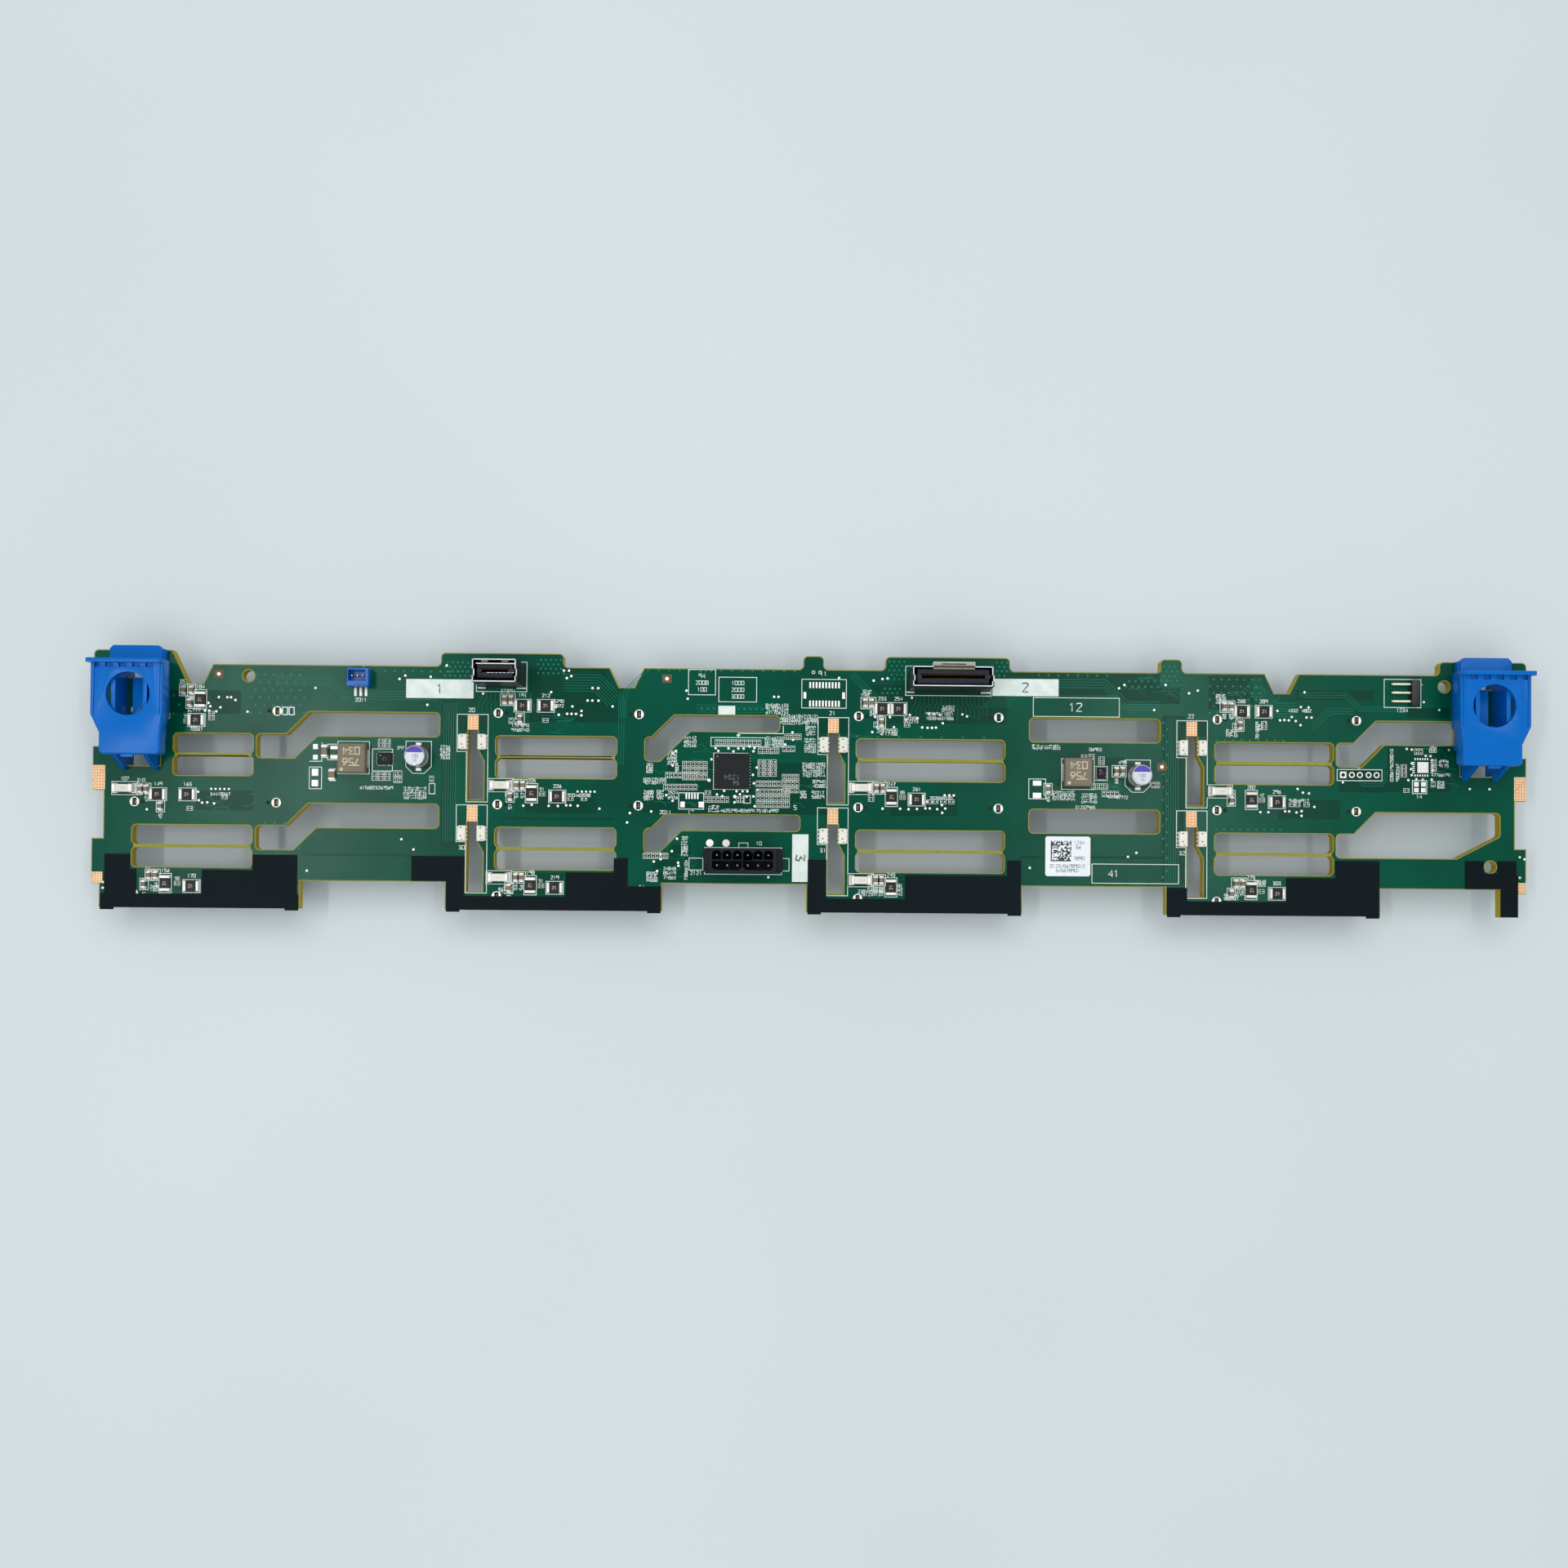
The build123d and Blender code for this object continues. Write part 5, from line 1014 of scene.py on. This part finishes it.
# Can capacitors.
# A drawn aluminium can rolled over at its foot, on a black plastic base with two cut corners;
# the sleeve's coloured segment marks the negative lead.
can_metal = finish("can_aluminium", "cfd3d6", "aab0b5", 0.3, 0.08, 0.03, 200.0, 2600.0, metal=0.85)
can_face = finish("can_face", "d2d8dc", "bcc3c9", 0.4, 0.08, 0.02, 300.0, 2600.0, metal=0.2)
can_purple = finish("can_purple", "4a37b5", "3a2a96", 0.42, 0.08, 0.02, 200.0, 2600.0)
can_print = finish("can_print", "9498a4", "7c8090", 0.5, 0.08, 0.01, 300.0, 2600.0)
for number in (1, 2):
    x0, x1, _, _, z0, z1 = box = islands(f"capacitor_can_{number}")[0]
    (x, y), r = middle(box), (x1 - x0) / 2
    can = Build()
    can.lathe(x, y, [(r - 0.1, z0), (r, z0 + 0.15), (r, z0 + 0.45), (r - 0.28, z0 + 0.65),
                     (r - 0.3, z0 + 0.8), (r - 0.05, z0 + 1.1), (r, z0 + 1.3), (r, z1 - 0.5),
                     (r - 0.12, z1 - 0.2), (r - 0.4, z1), (r - 0.6, z1), (r - 0.7, z1 - 0.06)], 0, 56, 1)
    can.done(f"can_{number}", [can_metal, can_face], "can_metal", f"capacitor_can_{number}")
    colour, edge = Print(z1 + 0.006), r - 0.42
    swing = [radians(20 + 140 * k / 24) for k in range(25)]
    colour.shape([(x + edge * cos(a), y + edge * sin(a)) for a in swing])
    colour.lay(f"can_segment_{number}", [can_purple], "can_metal")
    figures = Print(z1 + 0.004)
    write(figures, "100", x, y - 0.1, 0.8, 0, 0.13)
    write(figures, "16", x, y - 1.3, 0.8, 0, 0.13)
    figures.lay(f"can_figures_{number}", [can_print], "can_metal")
    ends = Build()
    for low in (y - 4.2, y + 3.1):
        ends.block(x - 0.85, x + 0.85, low, low + 1.1, 0.0, 0.3, 0, 0.12)
    ends.done(f"can_leads_{number}", [solder], "tinned_metal")
    rounded_copy(f"capacitor_base_{number}", f"can_base_{number}", black_nylon, 0.12)

# Fuses, current-sense resistors and ceramic capacitors.
# Surface-mounted parts soldered by their end caps: white ceramic fuses, thick-film resistors with a
# black glaze between wide terminals, and brown layered ceramic capacitors.
fuse_body = finish("fuse_ceramic", "e8e6dc", "cfccbf", 0.5, 0.08, 0.03, 300.0, 2600.0)
cap_metal = finish("end_cap", "eceae4", "c3c1ba", 0.34, 0.1, 0.04, 400.0, 3000.0, metal=0.55)
glaze = finish("resistor_glaze", "0e1213", "171c1d", 0.4, 0.08, 0.02, 300.0, 2600.0, shine=0.3)
glaze_side = finish("resistor_side", "2a2f30", "1e2223", 0.6, 0.08, 0.03, 300.0, 2600.0)
brown_ceramic = finish("brown_ceramic", "7d7155", "665c44", 0.5, 0.1, 0.03, 400.0, 2600.0)
small_marks = Print(0.0)


def marked(text, x, y, z, height, turn, width):
    """Small printed figures on top of a part."""
    small_marks.lift = z
    write(small_marks, text, x, y, height, turn, width)


fuses = Build()
for box in islands("fuses"):
    x0, x1, y0, y1, _, z1 = box
    fuses.block(x0 + 0.9, x1 - 0.9, y0 + 0.18, y1 - 0.18, 0.1, z1 - 0.2, 0, 0.2)
    for a, b in ((x0, x0 + 1.3), (x1 - 1.3, x1)):
        fuses.block(a, b, y0, y1, 0.0, z1, 1, 0.25)
    for a, b in ((x0 - 0.45, x0 + 1.0), (x1 - 1.0, x1 + 0.45)):
        fuses.block(a, b, y0 - 0.2, y1 + 0.2, 0.0, 0.12, 2, 0.05)
    marked("1234", *middle(box), z1 - 0.19, 0.7, 0, 0.12)
fuses.done("chip_fuses", [fuse_body, cap_metal, solder], "white_block", "fuses")


def end_capped(build, box, body_top, cap, edge, pad):
    """A chip with two end caps on solder pads, along its longer side."""
    x0, x1, y0, y1, _, z1 = box
    turned = x1 - x0 <= y1 - y0
    if turned:
        x0, x1, y0, y1 = y0, y1, x0, x1

    def part(a, b, c, d, *rest):
        build.block(*((c, d, a, b) if turned else (a, b, c, d)), *rest)

    part(x0 + cap * 0.7, x1 - cap * 0.7, y0 + 0.03, y1 - 0.03, 0.06, z1 - 0.03, 0, edge, None, body_top)
    for a, b, out in ((x0, x0 + cap, -pad), (x1 - cap, x1, pad)):
        part(a, b, y0, y1, 0.02, z1, 1, edge)
        part(min(a, a + out), max(b, b + out), y0 - 0.08, y1 + 0.08, 0.0, 0.14, 2, 0.08)


resistors = Build()
for box in islands("sense_resistors"):
    end_capped(resistors, box, 3, 0.72, 0.06, 0.16)
    turn = 0 if box[1] - box[0] > 3.6 else 1
    marked("21", *middle(box), box[5] - 0.018, 0.85, turn, 0.16)
resistors.done("thick_film_resistors", [glaze_side, cap_metal, solder, glaze], "chip_resin",
               "sense_resistors")

ceramics = Build()
for box in islands("ceramic_capacitors"):
    end_capped(ceramics, box, 0, 0.5, 0.1, 0.35)
for x0, x1, y0, y1 in ((-125.9, -124.1, 13.6, 17.0), (-123.7, -121.8, 6.8, 9.9)):
    end_capped(ceramics, (x0, x1, y0, y1, 0, 1.5), 0, 0.7, 0.12, 0.3)
ceramics.done("layered_ceramics", [brown_ceramic, cap_metal, solder], "ceramic_brown", "ceramic_capacitors")
small_marks.lay("part_marks", [iron_print], "label_white")

# Small resistors and capacitors.
# Tiny chips round the controller, the regulators and each drive connector: black-topped resistors,
# brown capacitors and bare places where no part is fitted, each in its own printed frame.
tiny, outlines, empty = Build(), Print(LIFT["ink"]), Print(LIFT["pads"])


def tiny_part(x, y, turned, kind):
    """One chip of 1.0 by 0.5 mm, or its two empty pads, in a printed frame."""
    half, wide = (0.26, 0.5) if turned else (0.5, 0.26)
    outlines.frame(x - half - 0.34, x + half + 0.34, y - wide - 0.34, y + wide + 0.34, 0.11)
    if kind == "empty":
        for side in (-1, 1):
            a, b = (x, y + side * 0.42) if turned else (x + side * 0.42, y)
            empty.patch(a - 0.17, a + 0.17, b - 0.17, b + 0.17)
    else:
        box = (x - half, x + half, y - wide, y + wide, 0.0, 0.38)
        end_capped(tiny, box, 3 if kind == "resistor" else 0, 0.2, 0.04, 0.04)


KINDS = ("resistor", "resistor", "capacitor", "empty")
for x0, x1, y0, y1, turned in (
    (-19, -12.4, 8.6, 13.6, 1), (-24, -15, 9.1, 9.1, 1), (-24.5, -14.8, 5.6, 5.6, 1),
    (2.8, 9.6, 6.8, 6.8, 1), (2.9, 12, 0.6, 5.2, 1), (3.4, 8.6, 16.6, 16.6, 1), (-12.6, -5.2, 2, 2, 1),
    (-3, -0.9, 2, 2, 1), (-9.4, 4, 18.9, 18.9, 1), (3.6, 8.8, 9.6, 14.4, 0), (10.6, 14.6, 5, 9.4, 1),
    (10.6, 13.6, 17.2, 17.2, 1), (11.2, 15.6, 20.8, 20.8, 1), (-30.4, -24, -14.8, -14.8, 1),
    (-110.4, -105.6, 7.4, 9.2, 0), (-108.6, -105.8, 17.2, 19, 0), (-104.2, -102.4, 7, 10.6, 1),
    (-93.6, -93.6, 7.4, 7.4, 1), (102.4, 106.4, 6.8, 6.8, 1), (105.6, 110.4, 4.6, 6.4, 1),
    (104.8, 106.4, 13.8, 15.4, 0), (101.8, 103, 15.8, 15.8, 0), (195, 196.4, 11, 14.6, 0),
    (198.8, 200.2, 18, 18, 1), (195.8, 197, 6.4, 6.4, 0), (203.8, 204.8, 8.4, 8.4, 1),
    (120.3, 121.6, 7.4, 7.4, 1), (204.2, 204.8, 13, 15.4, 1),
):
    step_x, step_y = (1.24, 1.9) if turned else (1.9, 1.24)
    y = y0
    while y <= y1 + 0.01:
        x = x0
        while x <= x1 + 0.01:
            tiny_part(x, y, turned, chance.choice(KINDS))
            x += step_x
        y += step_y
for x, y, turned, kind in (
    (-165.9, 23.9, 0, "capacitor"), (-164.6, -1.9, 0, "empty"), (-168, -24, 0, "capacitor"),
    (-61, 3.2, 0, "capacitor"), (-61, -23.9, 0, "capacitor"), (45.7, 3.1, 0, "capacitor"),
    (45, -23.9, 1, "empty"), (152.6, 3.2, 0, "capacitor"), (152.6, -24, 0, "empty"),
    (36.4, 3.6, 0, "resistor"), (36.4, 2.4, 0, "resistor"), (36.4, -24, 0, "empty"),
    (38.4, -24.4, 1, "empty"), (39.8, -24.4, 1, "empty"), (46.9, 24.6, 0, "empty"),
    (39, 25.4, 1, "capacitor"), (37.6, 24.6, 1, "empty"), (57.8, 1.9, 0, "empty"), (60.2, 1.9, 0, "empty"),
    (55.4, 1.9, 0, "empty"), (53.8, 1.9, 0, "resistor"), (153.2, 24.8, 0, "capacitor"),
    (153.2, 26, 0, "resistor"), (151.9, 24.9, 1, "empty"), (161.6, 1.9, 0, "empty"),
    (163.2, 1.9, 0, "resistor"), (166, 1.9, 0, "empty"), (144.4, 25.2, 1, "empty"),
    (146.4, -24, 0, "capacitor"), (150.8, -24.2, 1, "empty"), (-158.6, 24.8, 0, "resistor"),
    (-158.6, 26.2, 0, "empty"), (-171.4, 25.4, 1, "empty"), (-174.4, 2, 1, "resistor"),
    (-175.8, 2, 1, "empty"), (-154.4, 1.6, 0, "empty"), (-70.4, 24.8, 1, "empty"),
    (-68.8, 24.8, 1, "resistor"), (-71, 3, 0, "empty"), (-71, -24, 0, "resistor"), (-48.6, 1.9, 0, "empty"),
    (-52.6, 1.9, 0, "resistor"), (-60.2, 25, 0, "empty"), (99.6, 15.6, 0, "empty"), (-12, 4, 0, "resistor"),
):
    tiny_part(x, y, turned, kind)
    if kind == "capacitor":
        write(outlines, str(40 + abs(int(x)) % 50), x, y + 1.45, 0.8, 0, 0.14)
tiny.done("tiny_chips", [brown_ceramic, cap_metal, solder, glaze], "ceramic_brown")
outlines.lay("tiny_frames", [ink], "label_white")
empty.lay("empty_pads", [solder], "tinned_metal")

# Indicator blocks.
# Cream white moulded lamp holders on both sides of each stepped slot: rounded away from the slot, with four
# soldered feet on each side and small flat dark marks on the top.
white_block = finish("lamp_holder", "ebe9dd", "d6d3c4", 0.45, 0.08, 0.02, 300.0, 2400.0)
dark_top_marks = finish("dark_top_mark", "4a463c", "39362e", 0.6, 0.08, 0.01, 300.0, 2400.0)
holders = Build()
for box in islands("indicator_blocks"):
    (x0, x1, y0, y1, _, z1), (x, y) = box, middle(box)
    inner = min((-81.6, 25.0, 131.7), key=lambda slot: abs(slot - x)) - x
    out = -1 if inner > 0 else 1
    quarter = [(out * (0.52 + 0.48 * cos(a)), 0.74 + 0.26 * sin(a)) for a in (pi / 2, pi / 4, 0)]
    plan = [(-out, -1), (-out, 1), *quarter, *((a, -b) for a, b in quarter[::-1])]
    if out > 0:
        plan = plan[::-1]
    half_x, half_y = (x1 - x0) / 2, (y1 - y0) / 2
    rings = [holders.ring([(x + a * (half_x - inset), y + b * (half_y - inset)) for a, b in plan], z)
             for inset, z in ((0.0, 0.05), (0.0, z1 - 0.3), (0.14, z1 - 0.08), (0.3, z1))]
    holders.stack(rings, 0)
    for k in range(4):
        foot = y0 + 0.25 + (y1 - y0 - 1.0) * k / 3
        for a, b in ((x0 - 0.28, x0 + 0.15), (x1 - 0.15, x1 + 0.28)):
            holders.block(a, b, foot, foot + 0.5, 0.0, 0.3, 1, 0.05)
        if k % 2:
            holders.block(x - 0.45, x + 0.1, foot - 0.1, foot + 0.25, z1 - 0.1, z1, 2, 0.03)
    holders.block(x - 0.1, x + 0.5, y0 + 0.35, y0 + 0.6, z1 - 0.1, z1, 2, 0.03)
holders.done("lamp_holders", [white_block, solder, dark_top_marks], "white_block", "indicator_blocks")

# Latches.
# Two mirrored mouldings in glossy blue acetal: a thumb plate with a round hole and a ribbed lip,
# on two webs whose barbed legs snap through the board's square cut-outs.
latch_blue, tree, shader, marks = coated("latch_acetal", "006cc6", "0062b8", 0.20, 0.28, 35.0, 1400.0)
relief(tree, shader, marks["Grain"], 0.015)
shader.inputs["Specular IOR Level"].default_value = 0.15
for side in ("left", "right"):
    rounded_copy(f"latch_{side}", f"thumb_latch_{side}", latch_blue, 0.28, 3)

# Paper label.
# A coated white paper label on the mask, with a field of random squares and a few plain numbers.
paper = finish("label_paper", "eef2f6", "dfe5ec", 0.5, 0.06, 0.01, 80.0, 2000.0)
x0, x1, y0, y1, _, z1 = islands("blank_label")[0]
label = Build()
label.block(x0, x1, y0, y1, 0.0, z1, 0, 0.02, 0.5)
label.done("paper_label", [paper], "label_white", "blank_label")
print_on = Print(z1 + 0.01)
SQUARES = 18
cell = 6.1 / SQUARES
for i in range(SQUARES):
    for j in range(SQUARES):
        if chance.random() < 0.5 or i == 0 or j == 0:
            a, b = 89.8 + i * cell, -15.5 + j * cell
            print_on.patch(a, a + cell, b, b + cell)
for text, x, y, height in (("1234", 98.3, -9.9, 0.9), ("56", 98.0, -11.3, 0.9), ("7890", 98.2, -14.6, 0.9),
                           ("0123456789012", 94.8, -16.9, 0.9), ("345678901", 94.8, -18.2, 0.9)):
    write(print_on, text, x, y, height, 0, 0.13)
print_on.lay("label_print", [dark_print], "label_white")

# Far side.
# Printed frames, each with a dot, round the drive connectors; rows of soldered dots beside them, soldered
# pads under the pegs and the power header, and rings at the empty header.
back_legend, back_pads = Print(0.034, True), Print(0.020, True)
for k in range(12):
    low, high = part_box(f"drive_connector_{k + 1}")
    x0, x1 = (low.x - grid.x) / MM, (high.x - grid.x) / MM
    y0, y1 = (low.y - grid.y) / MM, (high.y - grid.y) / MM
    back_legend.frame(x0 - 0.8, x1 + 0.8, y0 - 0.6, min(y1 + 0.6, 44.0), 0.22)
    back_legend.dot(x0 - 1.6, y1 - 0.4, 0.4)
    for j in range(11):
        x = x0 + 5.0 + j * 3.6
        back_pads.dot(x, y1 + 1.9 if k < 8 else y1 + 1.7, 0.36, 10)
    for j in range(5):
        back_pads.dot(x1 + 3.4, y0 + 0.4 + 1.5 * j, 0.36, 10)
for x, y in PEG_PADS:
    back_pads.dot(x, y, 1.0, 20)
for i in range(6):
    for j in (0, 1):
        back_pads.dot(-9.0 + 3.0 * i, -17.5 + 3.0 * j, 0.8, 16)
for x in EMPTY_HEADER:
    back_pads.ring(x, HEADER_Y, 0.72, 0.34)
back_legend.lay("legend_under", [ink], "label_white")
back_pads.lay("soldered_pads_under", [solder], "tinned_metal")

# Floor, light and camera, which aren't part of the board.
# A pale desk, two wide soft lamps high above the long sides and two strip lamps whose glare
# crosses the board, with the camera above the middle of the drive grid.
desk = bmesh.new()
bmesh.ops.create_grid(desk, x_segments=2, y_segments=2, size=1.6)
desk_mesh = bpy.data.meshes.new("desk")
desk.to_mesh(desk_mesh)
desk.free()
floor = bpy.data.objects.new("desk", desk_mesh)
floor.location.z = -0.05 * MM
link(floor)
desk_mesh.materials.append(
    coated("desk_finish", "d3dce0", "cfd8da", 0.55, 0.7, 4.0, 350.0, gloss_by="Grain")[0])


def lamp(name, place, size, power):
    """A rectangular soft lamp that points at the board's middle."""
    light = bpy.data.lights.new(name, "AREA")
    light.shape = "RECTANGLE"
    light.size, light.size_y = size
    light.energy = power
    obj = bpy.data.objects.new(name, light)
    obj.location = place
    obj.rotation_euler = (-Vector(place)).to_track_quat("-Z", "Y").to_euler()
    link(obj)


lamp("far_soft", (0.1, 0.8, 1.55), (1.6, 0.7), 7.6)
lamp("near_soft", (-0.1, -0.85, 1.55), (1.6, 0.7), 5.2)
lamp("left_strip", (-0.465, 0.0, 1.0), (0.5, 0.06), 1.7)
lamp("right_strip", (0.35, 0.0, 1.0), (0.5, 0.06), 0.9)
world = bpy.data.worlds.new("room")
bpy.context.scene.world = world
world.use_nodes = True
sky = world.node_tree.nodes["Background"].inputs
sky["Color"].default_value = (0.93, 0.97, 1.0, 1.0)
sky["Strength"].default_value = 0.55

eye = bpy.data.cameras.new("camera")
eye.lens = 35.672
eye.sensor_width = 36.0
eye.shift_x, eye.shift_y = -0.0045, 0.0366
camera = bpy.data.objects.new("camera", eye)
camera.location = (-0.012, -0.024, 0.4742)
camera.rotation_euler = [radians(a) for a in (0.8637, -0.6983, 0.4525)]
link(camera)
bpy.context.scene.camera = camera
bpy.context.scene.view_settings.view_transform = "Standard"
